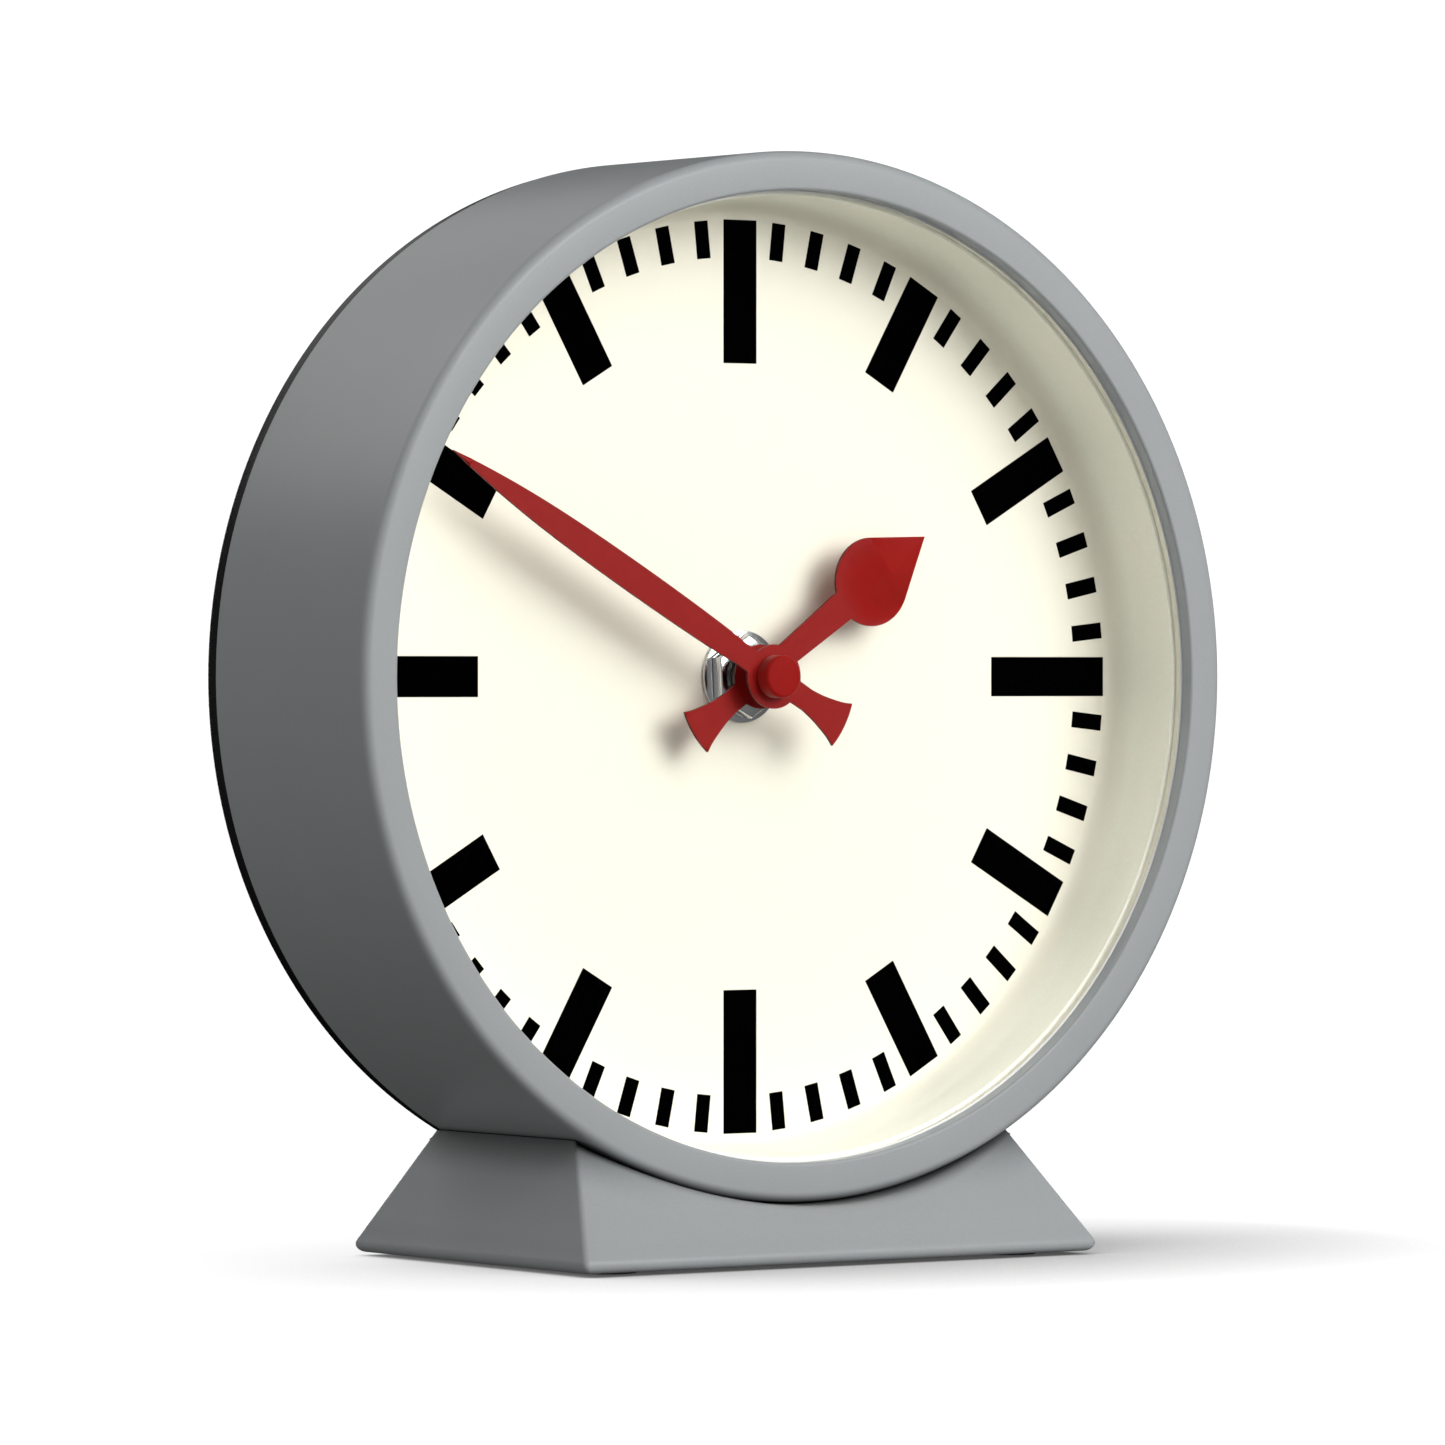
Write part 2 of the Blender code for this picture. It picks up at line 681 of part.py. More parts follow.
def base_stock():
    """The sloping block, as rounded outlines stacked from its foot up."""
    heights = [BASE_FOOT_ROUND * (1 + math.sin(math.radians(a))) for a in BASE_FOOT_ANGLES]
    bm = bmesh.new()
    rings = []
    for height in heights + [BASE_STOCK_H]:
        half = BASE_WIDTH / 2 - face_inset(height, BASE_SIDE_LEAN)
        front = -BASE_FRONT_REACH + face_inset(height, BASE_FRONT_LEAN)
        rear = BASE_DEPTH - BASE_FRONT_REACH - face_inset(height, BASE_REAR_LEAN)
        outline = rounded_rectangle(-half, half, front, rear, BASE_CORNER_ROUND)
        rings.append([bm.verts.new((x, y, BASE_Z + height)) for x, y in outline])
    bm.faces.new(rings[0])
    bm.faces.new(rings[-1])
    for low, high in zip(rings, rings[1:]):
        for i in range(len(low)):
            j = (i + 1) % len(low)
            bm.faces.new((low[i], low[j], high[j], high[i]))
    bmesh.ops.recalc_face_normals(bm, faces=bm.faces)
    return bm


def saddle_cylinder(radius):
    return rod(radius, -BASE_DEPTH, BASE_DEPTH, RING_SIDES)


def base_cavity():
    """The hollow under the saddle, with its ribs and screw posts left standing."""
    hollow = add_piece("hollow", frustum(BASE_WALL, -OVERRUN, BASE_STOCK_H), grey_case())
    cut(hollow, saddle_cylinder(SADDLE_R + BASE_WALL))
    above = BASE_Z + PLATE_INSET + PLATE_T + FLAT_GAP
    top = BASE_Z + BASE_STOCK_H + OVERRUN
    middle = (above + top) / 2
    for x in (-BASE_RIB_X, BASE_RIB_X):
        rib = prism(rectangle(x - BASE_RIB_T / 2, x + BASE_RIB_T / 2, above, top), -BASE_DEPTH, BASE_DEPTH)
        cut(hollow, rib)
    half = (top - above) / 2
    for y in SADDLE_POST_YS:
        cut(hollow, upright(rod(SADDLE_POST_R, -half, half, SMALL_SIDES), 0, y, middle))
    for x in (-PLATE_POST_X, PLATE_POST_X):
        cut(hollow, upright(rod(PLATE_POST_R, -half, half, SMALL_SIDES), x, BASE_MIDDLE_Y, middle))
    return hollow


def base_shell():
    base = add_piece("base_shell", base_stock(), grey_case(), sharp=math.radians(30))
    cut(base, saddle_cylinder(SADDLE_R))
    hollow = base_cavity()
    inside = bmesh.new()
    inside.from_mesh(hollow.data)
    bpy.data.objects.remove(hollow)
    cut(base, inside)
    for y in SADDLE_POST_YS:
        hole = rod(BASE_SCREW_HOLE_R, -BASE_SCREW_L, BASE_SCREW_L, TINY_SIDES)
        cut(base, upright(hole, 0, y, -SADDLE_R))
    for x in (-PLATE_POST_X, PLATE_POST_X):
        hole = rod(BASE_SCREW_HOLE_R, -PLATE_SCREW_L - PLATE_T, PLATE_SCREW_L, TINY_SIDES)
        cut(base, upright(hole, x, BASE_MIDDLE_Y, BASE_Z))
    return base


def base_plate():
    bottom = PLATE_INSET
    plate = add_piece("base_plate", frustum(BASE_WALL + GAP, bottom, bottom + PLATE_T), black_plastic())
    for x, y in foot_places():
        recess = rod(FOOT_R + GAP, -OVERRUN, FOOT_SUNK + FLAT_GAP, SMALL_SIDES)
        cut(plate, shifted(rotated(recess, math.radians(90), "X"), x, y, BASE_Z))
    for x in (-PLATE_POST_X, PLATE_POST_X):
        hole = rod(BASE_SCREW_HOLE_R, -PLATE_T - OVERRUN, PLATE_T + OVERRUN, TINY_SIDES)
        cut(plate, upright(hole, x, BASE_MIDDLE_Y, BASE_Z))
        seat = rod(BASE_SCREW_HEAD_R + GAP, -OVERRUN, PLATE_T / 2, SMALL_SIDES)
        cut(plate, shifted(rotated(seat, math.radians(90), "X"), x, BASE_MIDDLE_Y, BASE_Z))
    return plate


def foot_places():
    return [(sx * FOOT_X, BASE_MIDDLE_Y + sy * FOOT_Y) for sy in (-1, 1) for sx in (-1, 1)]


def rubber_feet():
    for i, (x, y) in enumerate(foot_places(), start=1):
        pad = rod(FOOT_R, -FOOT_PROUD, FOOT_SUNK, SMALL_SIDES)
        pad = shifted(rotated(pad, math.radians(90), "X"), x, y, BASE_Z)
        add_piece(f"rubber_foot_{i}", pad, black_rubber())


# Screws


def pan_screw(radius, head_r, head_h, length):
    """Head from -y, shank to +y, with the seat of the head at zero."""
    profile = [(0, -head_h), (head_r * SCREW_CROWN_SHARE, -head_h), (head_r, -head_h / 2), (head_r, 0)]
    profile += [(radius, 0), (radius, length - radius), (0, length)]
    return turned(profile, TINY_SIDES)


def flush_screw(radius, head_r, head_h, length):
    """A countersunk screw along y, its flat head at zero and its point towards -y."""
    profile = [(0, 0), (head_r, 0), (radius, -head_h), (radius, -length + radius), (0, -length)]
    return turned(profile, TINY_SIDES)


def screws():
    for i, place in enumerate(boss_places(), start=1):
        screw = shifted(flush_screw(SCREW_R, SCREW_HEAD_R, SCREW_HEAD_H, COVER_SCREW_L), 0, COVER_REAR, 0)
        add_piece(f"cover_screw_{i}", screw, steel(), place)
    for i, y in enumerate(SADDLE_POST_YS, start=1):
        screw = pan_screw(BASE_SCREW_R, BASE_SCREW_HEAD_R, BASE_SCREW_HEAD_H, BASE_SCREW_L)
        add_piece(f"saddle_screw_{i}", upright(screw, 0, y, -CASE_INNER_R + GAP), steel())
    for i, x in enumerate((-PLATE_POST_X, PLATE_POST_X), start=1):
        screw = pan_screw(BASE_SCREW_R, BASE_SCREW_HEAD_R, PLATE_T / 2 - PLATE_INSET, PLATE_SCREW_L - GAP)
        screw = shifted(rotated(screw, math.radians(90), "X"), x, BASE_MIDDLE_Y, BASE_Z + PLATE_T / 2 - FLAT_GAP)
        add_piece(f"plate_screw_{i}", screw, steel())


# Lens, reflector, dial and rear cover


def lens_glass():
    front = LIP_REAR + FLAT_GAP
    add_piece("lens_glass", rod(INSERT_R, front, front + LENS_T, INNER_SIDES), clear_glass())


def reflector_ring():
    front = LIP_REAR + FLAT_GAP + LENS_T + FLAT_GAP
    rear = -FLAT_GAP
    outer = REFLECTOR_R + REFLECTOR_WALL
    profile = [
        (REFLECTOR_R, rear),
        (REFLECTOR_R, front + REFLECTOR_EDGE),
        (REFLECTOR_R + REFLECTOR_EDGE, front),
        (INSERT_R, front),
        (INSERT_R, front + REFLECTOR_RIM_T),
        (outer, front + REFLECTOR_RIM_T),
        (outer, rear - REFLECTOR_RIM_T),
        (INSERT_R, rear - REFLECTOR_RIM_T),
        (INSERT_R, rear),
    ]
    add_piece("reflector_ring", turned(profile, INNER_SIDES, ring=True), cream_plastic())


def dial_plate():
    plate = add_piece("dial_plate", rod(INSERT_R, 0, DIAL_T, INNER_SIDES), dial_print())
    cut(plate, rod(BUSH_R + GAP, -OVERRUN, DIAL_T + OVERRUN))


def rear_cover():
    panel_front = COVER_REAR - COVER_PANEL_T
    skirt_inner = INSERT_R - SKIRT_WALL
    profile = [(0, panel_front), (skirt_inner, panel_front), (skirt_inner, DIAL_T + FLAT_GAP)]
    profile += [(INSERT_R, DIAL_T + FLAT_GAP), (INSERT_R, COVER_FRONT), (COVER_R, COVER_FRONT)]
    edge = COVER_EDGE_ROUND
    for y, radius in arc((COVER_REAR - edge, COVER_R - edge), edge, 90, 0, EDGE_STEPS):
        profile.append((radius, y))
    profile.append((0, COVER_REAR))
    cover = add_piece("rear_cover", turned(profile, RING_SIDES), black_plastic())
    for degrees in SKIRT_SLOT_ANGLES:
        slot = prism(
            rectangle(-CASE_R, CASE_R, -SKIRT_SLOT_W / 2, SKIRT_SLOT_W / 2),
            DIAL_T - OVERRUN,
            DIAL_T + SKIRT_SLOT_L,
        )
        cut(cover, rotated(slot, math.radians(degrees), "Y"))
    half = MOVE_HALF + GAP
    wall = half + COLLAR_WALL
    corner = MOVE_CORNER_R
    collar = rounded_rectangle(-wall, wall, -wall, wall, corner + COLLAR_WALL)
    add(cover, prism(collar, panel_front - COLLAR_DEPTH, COVER_REAR - COVER_PANEL_T / 2))
    window = rounded_rectangle(-half, half, -half, half, corner)
    cut(cover, prism(window, panel_front - COLLAR_DEPTH - OVERRUN, COVER_REAR + OVERRUN))
    sink = SCREW_HEAD_H + RUN_GAP
    for place in boss_places():
        hole = [(0, -COVER_RIM_T - OVERRUN), (SCREW_HOLE_R, -COVER_RIM_T - OVERRUN), (SCREW_HOLE_R, -sink)]
        hole += [(SCREW_HEAD_R + RUN_GAP, 0), (SCREW_HEAD_R + RUN_GAP, OVERRUN), (0, OVERRUN)]
        cut(cover, shifted(turned(hole, TINY_SIDES), 0, COVER_REAR, 0), place)
    return cover


def dial_fixings():
    seat = DIAL_T + FLAT_GAP
    add_piece("rubber_washer", tube(BUSH_R + GAP, RUBBER_R, seat, seat + RUBBER_T), black_rubber())
    front = -FLAT_GAP - DIAL_WASHER_T
    add_piece("dial_washer", tube(BUSH_R + GAP, DIAL_WASHER_R, front, -FLAT_GAP), bright_metal())
    rear = front - FLAT_GAP
    hexagon = circle(NUT_FLATS / math.sqrt(3), 6, phase=math.radians(30))
    nut = add_piece("dial_nut", prism(hexagon, rear - NUT_T, rear), bright_metal())
    corner = NUT_FLATS / math.sqrt(3)
    crown = [(0, rear - NUT_T - OVERRUN), (corner + OVERRUN, rear - NUT_T - OVERRUN)]
    crown += [(corner + OVERRUN, rear - NUT_T + OVERRUN + NUT_CHAMFER), (corner, rear - NUT_T + NUT_CHAMFER)]
    crown += [(NUT_FLATS / 2 * NUT_FACE_SHARE, rear - NUT_T), (0, rear - NUT_T)]
    cut(nut, turned(crown, SMALL_SIDES))
    cut(nut, rod(BUSH_R + RUN_GAP, rear - NUT_T - OVERRUN, rear + OVERRUN, SMALL_SIDES))


# Hands, drawn towards +z and then turned to the time shown


def tail_side():
    """One side of a hand's tail, from the neck down to its flared end."""
    points = [(TAIL_NECK, -TAIL_NECK_AT)]
    for along, out in TAIL_SHAPE_SHARES:
        x = TAIL_NECK + (TAIL_END - TAIL_NECK) * out
        z = -TAIL_NECK_AT - (TAIL_LENGTH - TAIL_NECK_AT) * along
        points.append((x, z))
    return points


def tail_end():
    x, z = tail_side()[-1]
    radius = math.hypot(x, z)
    spread = math.degrees(math.atan2(x, -z))
    return arc(CENTRE_AXIS, radius, 270 + spread, 270 - spread, 4)[1:-1]


def mirrored_outline(right_side, tip):
    left_side = [(-x, z) for x, z in reversed(right_side)]
    return [tip] + right_side + tail_end() + left_side


def hub_side(from_half, to_half):
    """The hub's disc on the right, between the blade above and the tail below."""
    start = math.degrees(math.acos(from_half / HUB_R))
    end = -math.degrees(math.acos(to_half / HUB_R))
    return arc(CENTRE_AXIS, HUB_R, start, end, 8)


def hour_outline():
    reach = HOUR_LENGTH - SPADE_AT
    shoulder = math.degrees(math.asin(SPADE_R / reach))
    foot = -math.degrees(math.acos(HOUR_STEM_FAR / SPADE_R))
    side = arc((0, SPADE_AT), SPADE_R, shoulder, foot, 9)
    side += hub_side(HOUR_STEM_NEAR, TAIL_NECK)
    side += tail_side()
    return mirrored_outline(side, (0, HOUR_LENGTH))


def minute_outline():
    side = []
    for along, half in reversed(MINUTE_SHAPE_SHARES):
        side.append((MINUTE_BELLY * half, MINUTE_LENGTH * along))
    side += hub_side(MINUTE_BELLY * MINUTE_SHAPE_SHARES[0][1], TAIL_NECK)
    side += tail_side()
    return mirrored_outline(side, (0, MINUTE_LENGTH))


def hand_piece(name, outline, plane, collar, bore, angle):
    """A stamped hand with a collar, its front face at the given distance before the dial."""
    hand = add_piece(name, rotated(prism(outline, -plane, HAND_T - plane), angle, "Y"), red_paint())
    add(hand, rod(*collar, SMALL_SIDES))
    cut(hand, rod(bore, -plane - OVERRUN, HAND_T - plane + OVERRUN, SMALL_SIDES))
    return hand


def hands():
    front = -HOUR_PLANE
    collar = (HOUR_COLLAR_R, front - HOUR_COLLAR_T, front + HAND_T / 2)
    hand_piece("hour_hand", hour_outline(), HOUR_PLANE, collar, HOUR_PIPE_R + RUN_GAP, HOUR_ANGLE)
    back = HAND_T - MINUTE_PLANE
    collar = (MINUTE_COLLAR_R, back - HAND_T / 2, back + MINUTE_COLLAR_T)
    hand_piece("minute_hand", minute_outline(), MINUTE_PLANE, collar, MINUTE_ARBOR_R + RUN_GAP, MINUTE_ANGLE)
    rear = -MINUTE_PLANE - FLAT_GAP
    bore = MINUTE_ARBOR_R + RUN_GAP
    roof = -MINUTE_ARBOR_REACH - FLAT_GAP
    profile = [(0, roof), (bore, roof), (bore, rear), (CAP_R, rear)]
    for y, radius in arc((-CAP_FRONT + CAP_ROUND, CAP_R - CAP_ROUND), CAP_ROUND, 90, 180, EDGE_STEPS):
        profile.append((radius, y))
    profile.append((0, -CAP_FRONT))
    add_piece("hand_cap", turned(profile, SMALL_SIDES), red_paint())


# Movement case


def movement_front():
    side = rounded_rectangle(-MOVE_HALF, MOVE_HALF, -MOVE_HALF, MOVE_HALF, MOVE_CORNER_R)
    plate = add_piece("movement_front", prism(side, MOVE_FRONT, MOVE_INNER), black_plastic())
    cut(plate, rod(BUSH_R + GAP, MOVE_FRONT - OVERRUN, MOVE_INNER + OVERRUN))
    recess = BUSH_R + BUSH_FLANGE_W + GAP
    cut(plate, rod(recess, MOVE_INNER - BUSH_FLANGE_T - FLAT_GAP, MOVE_INNER + OVERRUN))
    post_end = LEVEL_CANNON + WHEEL_T + LEVEL_GAP
    add(plate, rod(MOTION_POST_R, MOVE_INNER - MOVE_FRONT_T / 2, post_end, TINY_SIDES), MINUTE_WHEEL_AXIS)
    floor = MOVE_INNER - PIVOT_DEPTH
    for axis in (THIRD_AXIS, INTERMEDIATE_AXIS, ROTOR_AXIS, SETTING_AXIS):
        hole = SETTING_PIVOT_R + RUN_GAP if axis == SETTING_AXIS else PIVOT_HOLE_R
        cut(plate, rod(hole, floor, MOVE_INNER + OVERRUN, TINY_SIDES), axis)
    return plate


def threaded_bush():
    """The tube that the nut screws on to, its flange sunk in the front plate from behind."""
    flange_r = BUSH_R + BUSH_FLANGE_W
    flange_front = MOVE_INNER - BUSH_FLANGE_T
    bore = HOUR_PIPE_R + RUN_GAP
    profile = [(bore, -BUSH_REACH), (BUSH_R, -BUSH_REACH), (BUSH_R, flange_front)]
    profile += [(flange_r, flange_front), (flange_r, MOVE_INNER), (bore, MOVE_INNER)]
    add_piece("threaded_bush", turned(profile, SMALL_SIDES, ring=True), bright_metal())


def movement_rear():
    half = MOVE_HALF
    side = rounded_rectangle(-half, half, -half, half, MOVE_CORNER_R)
    case = add_piece("movement_rear", prism(side, REAR_CASE_FRONT, MOVE_REAR), black_plastic())
    inner = MOVE_INNER_HALF
    train = rectangle(-inner, inner, TRAIN_FLOOR, inner)
    cut(case, prism(train, REAR_CASE_FRONT - OVERRUN, REAR_WALL_INNER))
    bay = rectangle(-inner, inner, -half + BAY_WALL, BAY_TOP)
    cut(case, prism(bay, REAR_CASE_FRONT + BAY_FLOOR_T, MOVE_REAR + OVERRUN))
    notch = rectangle(-NOTCH_W / 2, NOTCH_W / 2, -half - OVERRUN, -half + BAY_WALL + OVERRUN)
    cut(case, prism(notch, MOVE_REAR - NOTCH_DEPTH, MOVE_REAR + OVERRUN))
    for post in TRAIN_POSTS:
        add(case, rod(TRAIN_POST_R, TRAIN_PLATE_REAR + FLAT_GAP, REAR_WALL_INNER + MOVE_WALL / 2, TINY_SIDES), post)
    cut(case, rod(SETTING_R + RUN_GAP, REAR_WALL_INNER - OVERRUN, MOVE_REAR + OVERRUN, TINY_SIDES), SETTING_AXIS)
    cut(case, rod(PIVOT_HOLE_R, REAR_WALL_INNER - OVERRUN, REAR_WALL_INNER + MOVE_WALL / 2, TINY_SIDES), ROTOR_AXIS)
    return case


def battery_cell():
    half = CELL_L / 2
    edge = CELL_EDGE
    profile = [(0, -half), (CELL_R - edge, -half), (CELL_R, -half + edge), (CELL_R, half - edge)]
    profile += [(CELL_R - edge, half), (CELL_NUB_R, half), (CELL_NUB_R, half + CELL_NUB_L), (0, half + CELL_NUB_L)]
    cell = along_x(turned(profile, SMALL_SIDES), 0, CELL_Y, 0)
    add_piece("battery_cell", cell, cell_wrap(), (0, CELL_Z))


def battery_contacts():
    wall = MOVE_INNER_HALF - FLAT_GAP
    low = CELL_Z - CONTACT_W / 2
    high = CELL_Z + CONTACT_W / 2
    front = CELL_Y - CONTACT_W / 2
    rear = CELL_Y + CONTACT_W / 2
    plate = rectangle(wall - CONTACT_T, wall, low, high)
    add_piece("positive_contact", prism(plate, front, rear), bright_metal())
    blade = CONTACT_SPRING / 2
    leaf = [(-wall, low), (-wall + CONTACT_T, low), (-wall + CONTACT_T, CELL_Z - blade)]
    leaf += [(-wall + CONTACT_SPRING, CELL_Z), (-wall + CONTACT_T, CELL_Z + blade), (-wall + CONTACT_T, high)]
    leaf.append((-wall, high))
    add_piece("negative_contact", prism(leaf, front, rear), bright_metal())


# Gear train


def centre_phase():
    return 0.0


def third_phases():
    pinion_phase = meshing_phase(CENTRE_TEETH, centre_phase(), THIRD_AXIS_ANGLE, PINION_TEETH)
    return pinion_phase, 0.0


def seconds_phases():
    back = THIRD_AXIS_ANGLE + math.pi
    pinion_phase = meshing_phase(THIRD_TEETH, third_phases()[1], back, PINION_TEETH)
    return pinion_phase, 0.0


def intermediate_phases():
    pinion_phase = meshing_phase(
        SECONDS_TEETH, seconds_phases()[1], INTERMEDIATE_AXIS_ANGLE, PINION_TEETH
    )
    return pinion_phase, 0.0


def rotor_phase():
    return meshing_phase(INTERMEDIATE_TEETH, intermediate_phases()[1], ROTOR_AXIS_ANGLE, PINION_TEETH)


def minute_wheel_phases():
    wheel_phase = meshing_phase(CANNON_TEETH, 0.0, MINUTE_WHEEL_ANGLE, MINUTE_WHEEL_TEETH)
    return wheel_phase, 0.0


def hour_phase():
    back = MINUTE_WHEEL_ANGLE + math.pi
    return meshing_phase(MINUTE_PINION_TEETH, minute_wheel_phases()[1], back, HOUR_WHEEL_TEETH)


def setting_phase():
    return meshing_phase(MINUTE_WHEEL_TEETH, minute_wheel_phases()[0], SETTING_ANGLE, SETTING_TEETH)


def minute_arbor():
    arbor = add_piece(
        "minute_arbor", rod(MINUTE_ARBOR_R, -MINUTE_ARBOR_REACH, LEVEL_CENTRE + WHEEL_T), steel()
    )
    add(arbor, pinion(CANNON_TEETH, MOTION_MODULE, 0.0, LEVEL_CANNON, LEVEL_SHOULDER))
    add(arbor, rod(MINUTE_SHOULDER_R, LEVEL_SHOULDER + FLAT_GAP, LEVEL_CENTRE - FLAT_GAP))
    rear = LEVEL_CENTRE + WHEEL_T
    cut(arbor, rod(PIVOT_HOLE_R, rear - SECONDS_BORE_DEPTH, rear + OVERRUN, TINY_SIDES))


def centre_wheel():
    body = wheel(CENTRE_TEETH, CENTRE_MODULE, centre_phase(), LEVEL_CENTRE, LEVEL_CENTRE + WHEEL_T)
    gear = add_piece("centre_wheel", body, brass())
    cut(gear, rod(MINUTE_ARBOR_R + RUN_GAP, LEVEL_CENTRE - OVERRUN, LEVEL_CENTRE + WHEEL_T + OVERRUN))


def train_wheel(name, axis, arbor, lower, upper, finish):
    """One moulding: arbor holds its two ends, and lower and upper are each an outline with its two ends."""
    gear = add_piece(name, prism(*upper), finish, axis)
    add(gear, prism(*lower), axis)
    add(gear, rod(ARBOR_R, *arbor, TINY_SIDES), axis)
    return gear


def third_wheel():
    pinion_phase, wheel_phase = third_phases()
    leaves = toothed(PINION_TEETH, CENTRE_MODULE, pinion_phase, PINION_TOOTH_SHARES)
    teeth = toothed(THIRD_TEETH, THIRD_MODULE, wheel_phase, WHEEL_TOOTH_SHARES)
    low = (leaves, LEVEL_CENTRE - LEVEL_GAP, LEVEL_THIRD + WHEEL_T / 2)
    high = (teeth, LEVEL_THIRD, LEVEL_THIRD + WHEEL_T)
    train_wheel("third_wheel", THIRD_AXIS, (PIVOT_END, TRAIN_PLATE_REAR - RUN_GAP), low, high, white_nylon())


def seconds_wheel():
    pinion_phase, wheel_phase = seconds_phases()
    leaves = toothed(PINION_TEETH, THIRD_MODULE, pinion_phase, PINION_TOOTH_SHARES)
    teeth = toothed(SECONDS_TEETH, SECONDS_MODULE, wheel_phase, WHEEL_TOOTH_SHARES)
    low = (leaves, LEVEL_THIRD - LEVEL_GAP, LEVEL_SECONDS + WHEEL_T / 2)
    high = (teeth, LEVEL_SECONDS, LEVEL_SECONDS + WHEEL_T)
    start = LEVEL_CENTRE + WHEEL_T - SECONDS_BORE_DEPTH + RUN_GAP
    train_wheel("seconds_wheel", CENTRE_AXIS, (start, TRAIN_PLATE_REAR - RUN_GAP), low, high, white_nylon())


def intermediate_wheel():
    pinion_phase, wheel_phase = intermediate_phases()
    leaves = toothed(PINION_TEETH, SECONDS_MODULE, pinion_phase, PINION_TOOTH_SHARES)
    teeth = toothed(INTERMEDIATE_TEETH, ROTOR_MODULE, wheel_phase, WHEEL_TOOTH_SHARES)
    low = (leaves, LEVEL_SECONDS - LEVEL_GAP, LEVEL_INTERMEDIATE + WHEEL_T / 2)
    high = (teeth, LEVEL_INTERMEDIATE, LEVEL_INTERMEDIATE + WHEEL_T)
    arbor = (PIVOT_END, TRAIN_PLATE_REAR - RUN_GAP)
    train_wheel("intermediate_wheel", INTERMEDIATE_AXIS, arbor, low, high, white_nylon())


def rotor():
    leaves = pinion(
        PINION_TEETH, ROTOR_MODULE, rotor_phase(), LEVEL_INTERMEDIATE - LEVEL_GAP, TRAIN_PLATE_Y - LEVEL_GAP
    )
    arbor = add_piece("rotor_arbor", leaves, steel(), ROTOR_AXIS)
    end = REAR_WALL_INNER + MOVE_WALL / 2 - RUN_GAP
    add(arbor, rod(ARBOR_R, PIVOT_END, end, TINY_SIDES), ROTOR_AXIS)
    ring = tube(ARBOR_R + RUN_GAP, MAGNET_R, MAGNET_Y, MAGNET_Y + MAGNET_T)
    add_piece("rotor_magnet", ring, steel(), ROTOR_AXIS)


def minute_wheel():
    wheel_phase, pinion_phase = minute_wheel_phases()
    teeth = wheel(MINUTE_WHEEL_TEETH, MOTION_MODULE, wheel_phase, LEVEL_CANNON, LEVEL_CANNON + WHEEL_T)
    gear = add_piece("minute_wheel", teeth, white_nylon(), MINUTE_WHEEL_AXIS)
    leaves = pinion(
        MINUTE_PINION_TEETH, MOTION_MODULE, pinion_phase, LEVEL_HOUR, LEVEL_CANNON + WHEEL_T / 2
    )
    add(gear, leaves, MINUTE_WHEEL_AXIS)
    bore = rod(MOTION_POST_R + RUN_GAP, LEVEL_HOUR - OVERRUN, LEVEL_CANNON + WHEEL_T + OVERRUN, TINY_SIDES)
    cut(gear, bore, MINUTE_WHEEL_AXIS)


def hour_wheel():
    teeth = wheel(HOUR_WHEEL_TEETH, MOTION_MODULE, hour_phase(), LEVEL_HOUR, LEVEL_HOUR + WHEEL_T)
    gear = add_piece("hour_wheel", teeth, black_plastic())
    add(gear, rod(HOUR_PIPE_R, -HOUR_PIPE_REACH, LEVEL_HOUR + WHEEL_T / 2))
    bore = HOUR_PIPE_R - HOUR_PIPE_WALL
    cut(gear, rod(bore, -HOUR_PIPE_REACH - OVERRUN, LEVEL_HOUR + WHEEL_T + OVERRUN))


def setting_gear():
    leaves = pinion(SETTING_TEETH, MOTION_MODULE, setting_phase(), LEVEL_CANNON, LEVEL_SHOULDER)
    shaft = add_piece("setting_shaft", leaves, white_nylon(), SETTING_AXIS)
    end = MOVE_REAR + KNOB_STANDOFF + KNOB_BORE_DEPTH
    add(shaft, rod(SETTING_R, MOVE_INNER + LEVEL_GAP, end, TINY_SIDES), SETTING_AXIS)
    add(shaft, rod(SETTING_PIVOT_R, PIVOT_END, LEVEL_CANNON, TINY_SIDES), SETTING_AXIS)


def setting_knob():
    front = MOVE_REAR + KNOB_STANDOFF
    rear = front + KNOB_T
    flutes = []
    for i in range(3 * KNOB_FLUTES):
        radius = KNOB_R - (KNOB_FLUTE_DEPTH if i % 3 == 0 else 0)
        flutes.append(polar(radius, math.tau * i / (3 * KNOB_FLUTES)))
    knob = add_piece("setting_knob", prism(flutes, front, rear), black_plastic(), SETTING_AXIS)
    edge = KNOB_CHAMFER
    wide = KNOB_R + OVERRUN
    crown = [(KNOB_R - edge, rear), (KNOB_R + OVERRUN, rear - edge - OVERRUN), (wide, rear + OVERRUN)]
    crown.append((KNOB_R - edge, rear + OVERRUN))
    cut(knob, turned(crown, SMALL_SIDES, ring=True), SETTING_AXIS)
    bore = rod(SETTING_R + RUN_GAP, front - OVERRUN, front + KNOB_BORE_DEPTH + FLAT_GAP, TINY_SIDES)
    cut(knob, bore, SETTING_AXIS)


# Train plate, motor and circuit


